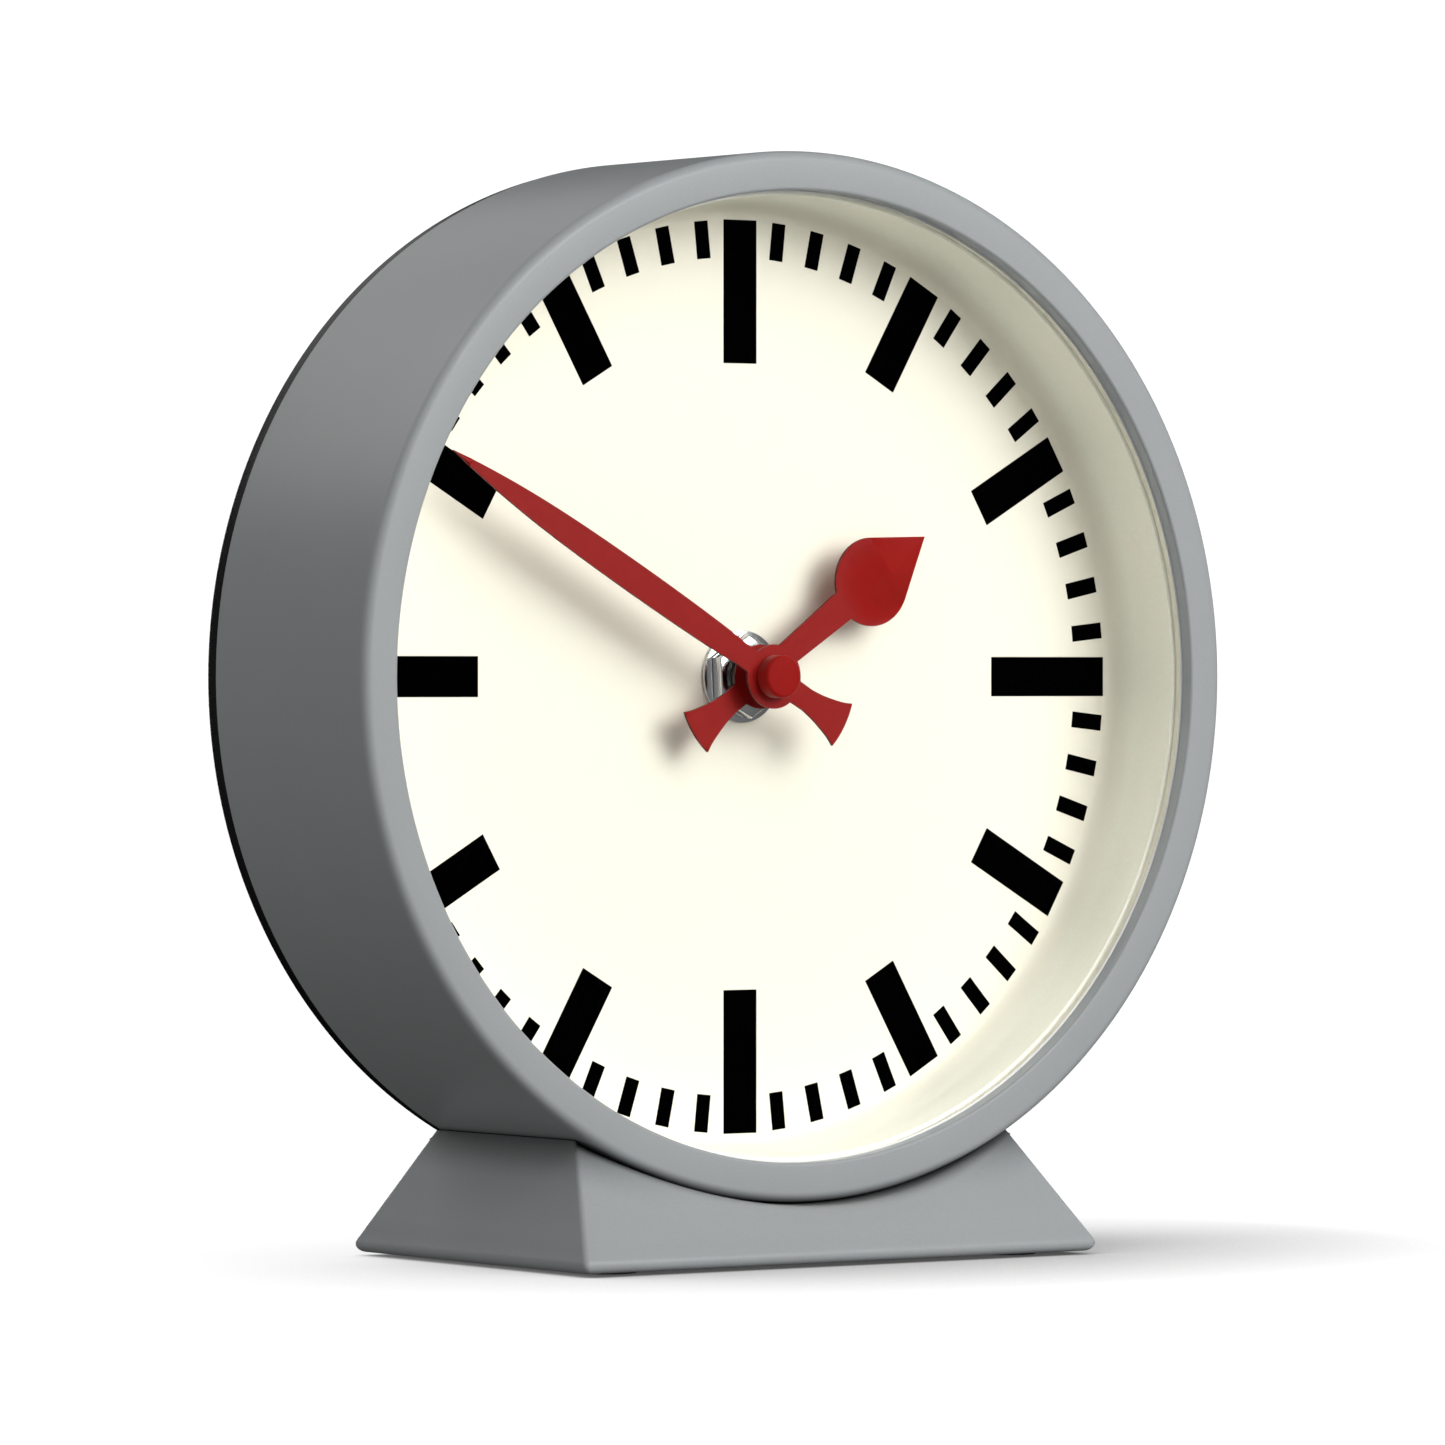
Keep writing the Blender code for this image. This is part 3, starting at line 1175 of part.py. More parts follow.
def train_plate():
    low = TRAIN_FLOOR + GAP
    side = rounded_rectangle(
        -TRAIN_PLATE_LEFT, TRAIN_PLATE_RIGHT, low, TRAIN_PLATE_TOP, TRAIN_PLATE_CORNER
    )
    plate = add_piece("train_plate", prism(side, TRAIN_PLATE_Y, TRAIN_PLATE_REAR), white_nylon())
    for axis in (CENTRE_AXIS, THIRD_AXIS, INTERMEDIATE_AXIS, ROTOR_AXIS, SETTING_AXIS):
        hole = SETTING_R + RUN_GAP if axis == SETTING_AXIS else PIVOT_HOLE_R
        cut(plate, rod(hole, TRAIN_PLATE_Y - OVERRUN, TRAIN_PLATE_REAR + OVERRUN, TINY_SIDES), axis)


def stator_plate():
    x, z = ROTOR_AXIS
    left, right = x - STATOR_SPAN, x + STATOR_SPAN
    top = COIL_Z + STATOR_LEG_W / 2
    foot = z - STATOR_FOOT
    bridge = z + STATOR_FOOT
    side = [(left, foot), (right, foot), (right, top), (right - STATOR_LEG_W, top)]
    side += [(right - STATOR_LEG_W, bridge), (left + STATOR_LEG_W, bridge), (left + STATOR_LEG_W, top)]
    side.append((left, top))
    plate = add_piece("stator_plate", prism(side, STATOR_Y, STATOR_Y + STATOR_T), steel())
    air = rod(MAGNET_R + STATOR_AIR, STATOR_Y - OVERRUN, STATOR_Y + STATOR_T + OVERRUN)
    cut(plate, air, ROTOR_AXIS)


def coil():
    x = ROTOR_AXIS[0]
    core = rectangle(
        x - STATOR_SPAN, x + STATOR_SPAN, COIL_Z - STATOR_LEG_W / 2, COIL_Z + STATOR_LEG_W / 2
    )
    add_piece("coil_core", prism(core, CORE_Y, CORE_Y + STATOR_T), steel())
    reach = STATOR_SPAN - STATOR_LEG_W - GAP
    middle = CORE_Y + STATOR_T / 2
    slot_y = STATOR_T / 2 + FLAT_GAP
    slot_z = STATOR_LEG_W / 2 + FLAT_GAP
    barrel_y = slot_y + BOBBIN_WALL
    barrel_z = slot_z + BOBBIN_WALL
    barrel = along_x(prism(rectangle(-barrel_y, barrel_y, -barrel_z, barrel_z), -reach, reach), x, middle, COIL_Z)
    bobbin = add_piece("coil_bobbin", barrel, white_nylon())
    flange = rectangle(-BOBBIN_HALF, BOBBIN_HALF, -BOBBIN_HALF, BOBBIN_HALF)
    for start in (-reach, reach - BOBBIN_FLANGE_T):
        add(bobbin, along_x(prism(flange, start, start + BOBBIN_FLANGE_T), x, middle, COIL_Z))
    slot = prism(rectangle(-slot_y, slot_y, -slot_z, slot_z), -reach - OVERRUN, reach + OVERRUN)
    cut(bobbin, along_x(slot, x, middle, COIL_Z))
    inside = reach - BOBBIN_FLANGE_T - FLAT_GAP
    outer = rounded_rectangle(-COIL_HALF, COIL_HALF, -COIL_HALF, COIL_HALF, COIL_HALF / 2)
    winding = add_piece("coil_winding", along_x(prism(outer, -inside, inside), x, middle, COIL_Z), copper_wire())
    hollow_y, hollow_z = barrel_y + FLAT_GAP, barrel_z + FLAT_GAP
    hollow = prism(rectangle(-hollow_y, hollow_y, -hollow_z, hollow_z), -inside - OVERRUN, inside + OVERRUN)
    cut(winding, along_x(hollow, x, middle, COIL_Z))


def circuit():
    board = rectangle(-CIRCUIT_LEFT, CIRCUIT_RIGHT, CIRCUIT_BOTTOM, CIRCUIT_TOP)
    add_piece("circuit_board", prism(board, CIRCUIT_Y, CIRCUIT_REAR), board_green())
    middle = (CIRCUIT_TOP + CIRCUIT_BOTTOM) / 2
    seat = CIRCUIT_REAR + FLAT_GAP
    dome = [(0, seat), (CHIP_R, seat), (CHIP_R * CHIP_DOME_SHARE, seat + CHIP_H * CHIP_DOME_SHARE), (0, seat + CHIP_H)]
    add_piece("chip_cover", turned(dome, TINY_SIDES), black_plastic(), (-CHIP_R, middle))
    can = along_x(rod(CRYSTAL_R, 0, CRYSTAL_L, TINY_SIDES), 0, seat + CRYSTAL_R, 0)
    add_piece("quartz_crystal", can, bright_metal(), (-CIRCUIT_LEFT + CRYSTAL_L, middle))


def build_clock():
    clear_scene()
    case_drum()
    base_shell()
    base_plate()
    rubber_feet()
    screws()
    lens_glass()
    reflector_ring()
    dial_plate()
    rear_cover()
    dial_fixings()
    hands()
    movement_front()
    threaded_bush()
    movement_rear()
    battery_cell()
    battery_contacts()
    minute_arbor()
    centre_wheel()
    third_wheel()
    seconds_wheel()
    intermediate_wheel()
    rotor()
    minute_wheel()
    hour_wheel()
    setting_gear()
    setting_knob()
    train_plate()
    stator_plate()
    coil()
    circuit()


build_clock()
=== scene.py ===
"""Desk clock: looks, studio and camera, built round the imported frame. Metres, +Z up, the dial faces -Y."""

import json
import math

import bmesh
import bpy
from mathutils import Matrix, Vector


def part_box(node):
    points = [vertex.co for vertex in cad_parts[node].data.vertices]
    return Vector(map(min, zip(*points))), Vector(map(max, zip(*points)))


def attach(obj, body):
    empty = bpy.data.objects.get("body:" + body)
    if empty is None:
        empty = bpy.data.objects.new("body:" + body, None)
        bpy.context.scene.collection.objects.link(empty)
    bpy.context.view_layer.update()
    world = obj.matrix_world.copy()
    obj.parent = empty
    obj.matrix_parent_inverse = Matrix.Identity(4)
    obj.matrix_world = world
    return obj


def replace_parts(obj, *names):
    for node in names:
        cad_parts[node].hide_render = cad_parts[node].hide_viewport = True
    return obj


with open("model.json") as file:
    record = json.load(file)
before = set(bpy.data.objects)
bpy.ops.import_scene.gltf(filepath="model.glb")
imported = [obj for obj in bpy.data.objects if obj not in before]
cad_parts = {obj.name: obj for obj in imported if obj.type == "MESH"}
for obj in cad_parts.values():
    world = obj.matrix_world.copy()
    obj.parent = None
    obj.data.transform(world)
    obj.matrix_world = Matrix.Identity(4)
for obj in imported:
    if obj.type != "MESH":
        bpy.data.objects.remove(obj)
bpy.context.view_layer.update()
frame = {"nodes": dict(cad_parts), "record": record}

# Sizes read from the frame; y is measured from the dial's front face, z from its centre
DRUM_LOW, DRUM_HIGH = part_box("case_drum")
DIAL_LOW, DIAL_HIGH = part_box("dial_plate")
LENS_LOW, LENS_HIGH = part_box("lens_glass")
WALL_LOW, WALL_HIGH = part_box("reflector_ring")
COVER_LOW, COVER_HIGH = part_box("rear_cover")
BAY_LOW, BAY_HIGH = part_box("movement_rear")
DIAL_Y = DIAL_LOW.y
AXIS_Z = (DRUM_LOW.z + DRUM_HIGH.z) / 2
CASE_R = (DRUM_HIGH.x - DRUM_LOW.x) / 2
INSERT_R = (DIAL_HIGH.x - DIAL_LOW.x) / 2
RING_FRONT = DRUM_LOW.y - DIAL_Y
SEAM = DRUM_HIGH.y - DIAL_Y
LENS_FRONT = LENS_LOW.y - DIAL_Y
LENS_REAR = LENS_HIGH.y - DIAL_Y
WALL_FRONT = WALL_LOW.y - DIAL_Y
WALL_REAR = WALL_HIGH.y - DIAL_Y
DIAL_T = DIAL_HIGH.y - DIAL_Y
COVER_FRONT = COVER_LOW.y - DIAL_Y
COVER_REAR = COVER_HIGH.y - DIAL_Y
COVER_R = (COVER_HIGH.x - COVER_LOW.x) / 2

# Facets and tolerances; a hair is a gap too small to see, and edges shorter than a sliver are closed up
ROUND_SIDES = 256
SMALL_SIDES = 96
ROUND_STEPS = 8
EDGE_STEPS = 4
SHARP_ANGLE = 35
CARVED_SHARP_ANGLE = 30
FACING_NORMAL = 0.5
SIDE_NORMAL = 0.4
HAIR = 0.00003
SLIVER = 0.000001

# Case, glass and reflector
CASE_WALL = 0.0023
LIP_BORE_R = 0.0809
LIP_T = 0.0024
RING_OUTER_ROUND = 0.0017
RING_BORE_ROUND = 0.0006
WALL_INNER_R = 0.0802
WALL_T = 0.0011
WALL_RIM_T = 0.0013
WALL_EDGE = 0.0003
WALL_COVE = 0.0030
WALL_COVE_RISE = 0.0075
WALL_COVE_STEPS = 12
GLASS_EDGE = 0.0003
GLASS_GAP = 0.00005
# SEAT_LINE: the width of the thin white ring that is a painted highlight on the glass's edge
SEAT_LINE = 0.00032
SEAT_FRONT_GAP = 0.0001
SEAT_REAR_GAP = 0.00005

# Base: its front, rear and side faces lean, and its foot is rounded
BASE_WIDTH = 0.1056
BASE_DEPTH = 0.0726
BASE_FRONT_REACH = 0.03225
BASE_STOCK_H = 0.0236
BASE_FLOOR = 0.0969
BASE_CORNER_ROUND = 0.0009
BASE_FOOT_ROUND = 0.0014
BASE_FOOT_ANGLES = range(-90, 41, 10)
BASE_LEANS = tuple(math.radians(a) for a in (23.4, 38.6, 33.2))
BASE_WALL = 0.0030
SADDLE_R = 0.0878
SADDLE_ROUND = 0.0018
SADDLE_ROUND_STEPS = 5

# Washer, nut and bush
STACK_GAP = 0.00015
BUSH_R = 0.00395
BUSH_BORE = 0.0027
BUSH_FLANGE_T = 0.0006
THREAD_PITCH = 0.00075
THREAD_DEPTH = 0.0002
THREAD_CREST = (0.35, 0.65)
WASHER_R = 0.0078
WASHER_BORE_R = BUSH_R + 0.0003
WASHER_T = 0.0005
WASHER_EDGE = 0.00012
NUT_FLATS = 0.0122
NUT_BORE_R = BUSH_R + 0.0002
NUT_T = 0.0024
NUT_TURN = math.radians(3)
NUT_EDGE = 0.00028
NUT_EDGE_STEPS = 3

# Dial print
BAR_OUTER = 0.07685
BAR_HALF = 0.00338
LONG_BAR_INNER = 0.0527
BAR_INNER = 0.0578
TICK_INNER = 0.0705
TICK_HALF = 0.00137
PRINT_T = 0.00003
BUSH_HOLE_R = 0.00425

# Hands; the shares are of the length and of the half width, from the hub outwards
HAND_T = 0.0005
HAND_EDGE = 0.00005
HAND_EDGE_STEPS = 2
HAND_SHARP_ANGLE = 50
HUB_R = 0.00538
HUB_STEPS = 32
CURVE_STEPS = 6
HOUR_ANGLE = math.radians(55)
HOUR_PLANE = 0.0063
HOUR_LENGTH = 0.0415
HOUR_STEM_NEAR = 0.00205
HOUR_STEM_FAR = 0.00262
HOUR_BORE = 0.0027
HOUR_COLLAR_R = 0.0033
HOUR_COLLAR_L = 0.0007
SPADE_R = 0.0075
SPADE_AT = 0.02795
SPADE_STEPS = 40
MINUTE_ANGLE = math.radians(300)
MINUTE_PLANE = 0.0101
MINUTE_LENGTH = 0.0740
MINUTE_BELLY = 0.00255
MINUTE_BORE = 0.00175
MINUTE_COLLAR_R = 0.00235
MINUTE_COLLAR_L = 0.0016
MINUTE_SHAPE_SHARES = (
    (0.10, 0.76),
    (0.17, 0.88),
    (0.29, 0.97),
    (0.42, 1.00),
    (0.54, 0.98),
    (0.64, 0.92),
    (0.73, 0.81),
    (0.81, 0.65),
    (0.88, 0.46),
    (0.95, 0.22),
)
TAIL_LENGTH = 0.0168
TAIL_NECK = 0.00195
TAIL_NECK_AT = 0.0078
TAIL_END = 0.0041
TAIL_END_STEPS = 16
TAIL_SHAPE_SHARES = ((0.25, 0.13), (0.5, 0.36), (0.75, 0.66), (0.93, 1.0))
CAP_R = 0.0036
CAP_FRONT = 0.0130
CAP_ROUND = 0.00062
CAP_GAP = 0.00015

# Back cover and its window
COVER_ROUND = 0.0012
COVER_ROUND_BAND = 0.00015
COVER_PANEL_T = 0.0022
COVER_RIM_T = 0.00375
SKIRT_WALL = 0.0016
WINDOW_MARGIN = 0.0003
WINDOW_HALF = (BAY_HIGH.x - BAY_LOW.x) / 2 + WINDOW_MARGIN
WINDOW_CORNER = 0.0030
WINDOW_LIP = 0.0016
WINDOW_CHAMFER = 0.0004
COLLAR_DEPTH = 0.0090

# Screws; a pan head's profile is in shares of its radius and height
SCREW_R = 0.0009
SCREW_PITCH = 0.0007
SCREW_THREAD_DEPTH = 0.00009
SCREW_POINT_SHARE = 1.5
SCREW_HEAD_R = 0.0019
SCREW_HEAD_H = 0.0011
SCREW_SINK = 0.0003
SCREW_HOLE_GAP = 0.00012
SCREW_SHARP_ANGLE = 25
COVER_SCREW_TURNS = (54, 85, 116, 147)
PLATE_SCREW_TURNS = (17, 34)
PLATE_SCREW_CORE_SHARE = 0.54
PLATE_SCREW_HEAD_SHARE = 0.3
PAN_HEAD_SHARES = ((1, 1), (1, 0.45), (0.93, 0.18), (0.75, 0))
CROSS_R = 0.0011
CROSS_HALF = 0.00021
CROSS_DEPTH = 0.0008

# Cell; its print is placed in shares of its half length
CELL_EDGE = 0.0006
CELL_NUB_R = 0.0027
CELL_NUB_L = 0.0010
WRAP_T = 0.00008
WRAP_CURL = 0.0005
BAND_SHARES = (0.60, 0.66)
PLUS_SHARE = 0.80
MINUS_SHARE = -0.84
SIGN_HALF = 0.0013
SIGN_STROKE = 0.00035
SIGN_T = 0.000045
SIGN_STEPS = 8

# Rounded edges of nodes that keep their own mesh
SOFT_EDGES = {"movement_rear": 0.0003, "base_plate": 0.0003, "setting_knob": 0.0002}
SOFT_EDGES |= {f"rubber_foot_{i}": 0.0002 for i in range(1, 5)}
SOFT_EDGE_STEPS = 2
SOFT_EDGE_ANGLE = math.radians(50)

# Light: direction and strength of the surround's lobes; then direction, distance, size, power and gloss of each lamp
LOBE_POWER = 2.0
SURROUND = (
    ((0, -1, 0), 0.30),
    ((-1, 0, 0), 0.60),
    ((0, 0, -1), 0.07),
)
LIGHTS = (
    ("key_light", (0.45, -1.0, 0.39), 1.7, 0.9, 11.7, True),
    ("wide_light", (0.42, -1.0, 0.42), 1.7, 2.2, 26.0, False),
    ("top_light", (0.3, -1.0, 0.75), 1.7, 1.4, 9.5, False),
    ("back_light", (-0.45, 0.6, 0.66), 1.7, 1.2, 8.7, True),
    ("edge_light", (0.1, 0.82, 0.57), 1.7, 0.9, 1.9, True),
    ("behind_light", (0.1, 1.0, 0.06), 1.7, 0.7, 6.0, True),
)

# Floor and dome; the floor darkens where the clock stands within reach, seen along the lean
FLOOR_R = 9.0
DOME_R = 8.9
DOME_SIDES = 96
DOME_GLOW = 1.1
FLOOR_GREY = (0.10, 0.10, 0.10)
SHADOW_REACH = 0.08
SHADOW_LEAN = (-0.48, 0.36, 0.80)
SHADOW_DEPTH = 1.2

# Camera, fitted to the photograph, whose frame is 1445 pixels square
PHOTO_SIZE = 1445
PIXELS_PER_METRE = 5943
CAMERA_DISTANCE = 1.4505
CAMERA_TURN = math.radians(35.024)
AXIS_PIXEL = (739.88, 676.62)
SENSOR = 36.0
CLIP = (0.05, 50.0)

# Paint
BLACK = (0.0, 0.0, 0.0)
WHITE = (1.0, 1.0, 1.0)
GREY = (0.272, 0.287, 0.291)
DIAL_IVORY = (0.82, 0.782, 0.668)

# Shade in crevices: reach, depth as a power, and the share of the colour that is left
CASE_CREVICE = (0.0022, 1.0, 0.45)
BASE_CREVICE = (0.0080, 3.2, 0.20)
OCCLUSION_SAMPLES = 8

# Where the base's shade has faded, down at the floor, and where the reflector has its own colour
BASE_FADE = (-0.0950, -0.0910)
WALL_FADE = (0.0, -0.006)

# Grain: the range of the noise that is used, its detail, and the drift that it gives the roughness
NOISE_RANGE = (0.3, 0.7)
PATCH_DETAIL = 4.0
GRAIN_DETAIL = 2.0
ROUGHNESS_DRIFT = (0.9, 1.1)

# Glass: how its gloss rises towards grazing angles, its tint, and the smears on it
GLASS_RISE = (("POWER", 4.0), ("MULTIPLY", 0.6))
GLASS_TINT = (0.995, 1.0, 0.998)
SMEAR_SCALE = 25
SMEAR_ROUGHNESS = (0.02, 0.05)

# Finishes: colour, spread of its tone, roughness, scale and height of the grain, specular and, for metals, metallic
FINISHES = {
    "grey_case": (GREY, 0.012, 0.36, 2600, 0.000006, 0.35),
    "grey_base": (GREY, 0.012, 0.34, 2600, 0.000006, 0.20),
    # the lip's bore: a lighter, bluer copy of the case grey, painted light on the same paint
    "grey_bore_painted_light": ((0.345, 0.375, 0.405), 0.012, 0.34, 2600, 0.000006, 0.50),
    "seat": ((0.90, 0.87, 0.75), 0.02, 0.55, 2500, 0.000006, 0.3),
    "black_plastic": ((0.017, 0.017, 0.018), 0.15, 0.42, 1400, 0.00003, 0.40),
    # the cover's rounded rim: a darker, less glossy copy of the black plastic, painted shade
    "black_rim_painted_shade": ((0.0045, 0.0045, 0.0048), 0.20, 0.30, 1500, 0.00001, 0.10),
    "cream_plastic": ((0.975, 0.970, 0.875), 0.01, 0.60, 2200, 0.00002, 0.3),
    "dial_print": (DIAL_IVORY, 0.006, 0.65, 3000, 0.000003, 0.2),
    "dial_ink": ((0.0002, 0.0002, 0.0002), 0.4, 0.80, 3000, 0.000003, 0.0),
    "red_paint": ((0.247, 0.0052, 0.0038), 0.03, 0.42, 2600, 0.000004, 0.12),
    "red_cap": ((0.243, 0.0052, 0.0038), 0.03, 0.42, 2600, 0.000004, 0.05),
    # the hands' cut sides: a darker copy of the red paint, painted shade
    "red_edge_painted_shade": ((0.055, 0.0012, 0.0010), 0.10, 0.45, 2600, 0.000004, 0.20),
    # the bush: steel darkened partly as its own colour and partly as painted shade in the gap round the hub
    "dark_steel_and_gap_shade": ((0.085, 0.085, 0.088), 0.06, 0.40, 2200, 0.000004, 0.5, 0.6),
    "bright_metal": ((0.64, 0.64, 0.65), 0.03, 0.13, 2200, 0.000002, 0.5, 1.0),
    "brass": ((0.72, 0.50, 0.20), 0.06, 0.28, 2200, 0.000004, 0.5, 1.0),
    "steel": ((0.52, 0.52, 0.53), 0.06, 0.30, 2200, 0.000004, 0.5, 1.0),
    "copper_wire": ((0.55, 0.19, 0.08), 0.15, 0.35, 1500, 0.00003, 0.5, 1.0),
    "white_nylon": ((0.80, 0.80, 0.76), 0.03, 0.45, 2200, 0.000006, 0.4),
    "black_rubber": ((0.02, 0.02, 0.02), 0.2, 0.85, 1500, 0.00002, 0.2),
    "board_green": ((0.03, 0.16, 0.07), 0.15, 0.40, 900, 0.000008, 0.5),
    "cell_wrap": ((0.045, 0.075, 0.12), 0.1, 0.28, 1500, 0.000003, 0.5),
    "pale_print": ((0.62, 0.63, 0.64), 0.03, 0.35, 2500, 0.000002, 0.4),
}
FINISH_EXTRAS = {
    "grey_case": {"crevice": CASE_CREVICE, "speck": 0.05},
    "grey_base": {"speck": 0.05},
    "black_plastic": {"speck": 0.25},
    "cream_plastic": {"speck": 0.045},
    "dial_print": {"patch": 220},
}


# Materials


def shader_of(name):
    """A new material with its Principled shader."""
    material = bpy.data.materials.new(name)
    material.use_nodes = True
    return material, material.node_tree.nodes["Principled BSDF"]


def noise(tree, scale, detail):
    """A noise texture in metres, so a scale of 1000 has features of a millimetre."""
    place = tree.nodes.new("ShaderNodeTexCoord")
    texture = tree.nodes.new("ShaderNodeTexNoise")
    texture.inputs["Scale"].default_value = scale
    texture.inputs["Detail"].default_value = detail
    tree.links.new(place.outputs["Object"], texture.inputs["Vector"])
    return texture.outputs["Fac"]


def ranged(tree, value, low, high):
    """The noise's value, spread from low to high."""
    node = tree.nodes.new("ShaderNodeMapRange")
    node.inputs["From Min"].default_value, node.inputs["From Max"].default_value = NOISE_RANGE
    node.inputs["To Min"].default_value = low
    node.inputs["To Max"].default_value = high
    tree.links.new(value, node.inputs["Value"])
    return node.outputs["Result"]


def stepped(tree, value, steps):
    """The value after each step, a Math node's operation and its second number."""
    for operation, number in steps:
        node = tree.nodes.new("ShaderNodeMath")
        node.operation = operation
        node.inputs[1].default_value = number
        tree.links.new(value, node.inputs[0])
        value = node.outputs["Value"]
    return value


def mixed(tree, factor, first, second):
    """A colour between two, by a factor socket; each is a colour or a socket."""
    node = tree.nodes.new("ShaderNodeMix")
    node.data_type = "RGBA"
    tree.links.new(factor, node.inputs["Factor"])
    for socket, colour in ((node.inputs[6], first), (node.inputs[7], second)):
        if isinstance(colour, tuple):
            socket.default_value = (*colour, 1.0)
        else:
            tree.links.new(colour, socket)
    return node.outputs[2]


def bumped(tree, shader, value, height):
    """Raises the surface by the value socket, up to height in metres."""
    node = tree.nodes.new("ShaderNodeBump")
    node.inputs["Distance"].default_value = height
    node.inputs["Strength"].default_value = 1.0
    tree.links.new(value, node.inputs["Height"])
    tree.links.new(node.outputs["Normal"], shader.inputs["Normal"])


def openness(tree, reach):
    """A node whose factor falls from 1 as other surfaces stand closer than reach."""
    node = tree.nodes.new("ShaderNodeAmbientOcclusion")
    node.samples = OCCLUSION_SAMPLES
    node.inputs["Distance"].default_value = reach
    return node


def in_crevices(tree, colour, reach, depth, left):
    """The colour, darker where another surface stands closer than reach, down to the share left."""
    deeper = stepped(tree, openness(tree, reach).outputs["AO"], [("POWER", depth)])
    shade = tree.nodes.new("ShaderNodeMapRange")
    shade.inputs["To Min"].default_value = left
    tree.links.new(deeper, shade.inputs["Value"])
    return mixed(tree, shade.outputs["Result"], BLACK, colour)


def along(tree, axis, start, end):
    """A factor that runs from 0 to 1 as the piece's own x, y or z runs from start to end."""
    place = tree.nodes.new("ShaderNodeTexCoord")
    parts = tree.nodes.new("ShaderNodeSeparateXYZ")
    share = tree.nodes.new("ShaderNodeMapRange")
    share.interpolation_type = "SMOOTHSTEP"
    share.inputs["From Min"].default_value = start
    share.inputs["From Max"].default_value = end
    tree.links.new(place.outputs["Object"], parts.inputs["Vector"])
    tree.links.new(parts.outputs[axis], share.inputs["Value"])
    return share.outputs["Result"]


def surface(
    name, colour, spread, roughness, grain, height, specular, metallic=0.0, patch=60, crevice=None, speck=0.0
):
    """A finish whose tone drifts by spread over patches, with a fine grain in its gloss and its relief.

    The share speck is how much darker the grain's low spots are.
    """
    material, shader = shader_of(name)
    tree = material.node_tree
    low = tuple(c * (1 - spread) for c in colour)
    high = tuple(min(1.0, c * (1 + spread)) for c in colour)
    drift = ranged(tree, noise(tree, patch, PATCH_DETAIL), 0.0, 1.0)
    tone = mixed(tree, drift, low, high)
    fine = noise(tree, grain, GRAIN_DETAIL)
    if speck:
        tone = mixed(tree, ranged(tree, fine, 1 - speck, 1.0), BLACK, tone)
    if crevice is not None:
        tone = in_crevices(tree, tone, *crevice)
    tree.links.new(tone, shader.inputs["Base Color"])
    duller, brighter = (roughness * share for share in ROUGHNESS_DRIFT)
    tree.links.new(ranged(tree, fine, duller, brighter), shader.inputs["Roughness"])
    bumped(tree, shader, fine, height)
    shader.inputs["Specular IOR Level"].default_value = specular
    shader.inputs["Metallic"].default_value = metallic
    return material


def colour_of(material):
    """The tree of a finish, its shader's colour socket and the socket that feeds it."""
    tree = material.node_tree
    socket = tree.nodes["Principled BSDF"].inputs["Base Color"]
    return tree, socket, socket.links[0].from_socket


def shade_base(material):
    """Darkens the base's grey under the ring, but not down at the floor."""
    tree, socket, plain = colour_of(material)
    shaded = in_crevices(tree, plain, *BASE_CREVICE)
    tree.links.new(mixed(tree, along(tree, "Z", *BASE_FADE), plain, shaded), socket)


def blend_wall(material):
    """Lets the reflector's cream run into the dial's ivory at its foot."""
    tree, socket, cream = colour_of(material)
    tree.links.new(mixed(tree, along(tree, "Y", *WALL_FADE), DIAL_IVORY, cream), socket)


def glass_look():
    """Clear glass that lets the studio's light through to the dial."""
    material, _ = shader_of("clear_glass_look")
    tree = material.node_tree
    tree.nodes.clear()
    output = tree.nodes.new("ShaderNodeOutputMaterial")
    mix = tree.nodes.new("ShaderNodeMixShader")
    clear = tree.nodes.new("ShaderNodeBsdfTransparent")
    gloss = tree.nodes.new("ShaderNodeBsdfGlossy")
    facing = tree.nodes.new("ShaderNodeLayerWeight")
    clear.inputs["Color"].default_value = (*GLASS_TINT, 1.0)
    smear = noise(tree, SMEAR_SCALE, PATCH_DETAIL)
    tree.links.new(ranged(tree, smear, *SMEAR_ROUGHNESS), gloss.inputs["Roughness"])
    tree.links.new(stepped(tree, facing.outputs["Facing"], GLASS_RISE), mix.inputs["Fac"])
    tree.links.new(clear.outputs["BSDF"], mix.inputs[1])
    tree.links.new(gloss.outputs["BSDF"], mix.inputs[2])
    tree.links.new(mix.outputs["Shader"], output.inputs["Surface"])
    return material


LOOKS = {name: surface(f"{name}_look", *row, **FINISH_EXTRAS.get(name, {})) for name, row in FINISHES.items()}
LOOKS["clear_glass"] = glass_look()
shade_base(LOOKS["grey_base"])
blend_wall(LOOKS["cream_plastic"])


# Outlines and profiles


def polar(radius, angle):
    return radius * math.cos(angle), radius * math.sin(angle)


def arc(centre, radius, start, end, steps=ROUND_STEPS):
    """Points on an arc, both ends included; angles in degrees."""
    points = []
    for i in range(steps + 1):
        x, z = polar(radius, math.radians(start + (end - start) * i / steps))
        points.append((centre[0] + x, centre[1] + z))
    return points


def rounding(y, r, radius, start, end, steps=ROUND_STEPS):
    """A profile's arc about y and r, as pairs of radius and y; angles in degrees, from +y towards larger r."""
    return [(out, back) for back, out in arc((y, r), radius, start, end, steps)]


def rounded_rectangle(x0, x1, y0, y1, radius):
    points = arc((x1 - radius, y0 + radius), radius, -90, 0)
    points += arc((x1 - radius, y1 - radius), radius, 0, 90)
    points += arc((x0 + radius, y1 - radius), radius, 90, 180)
    points += arc((x0 + radius, y0 + radius), radius, 180, 270)
    return points


def rounded_square(half, corner):
    return rounded_rectangle(-half, half, -half, half, corner)


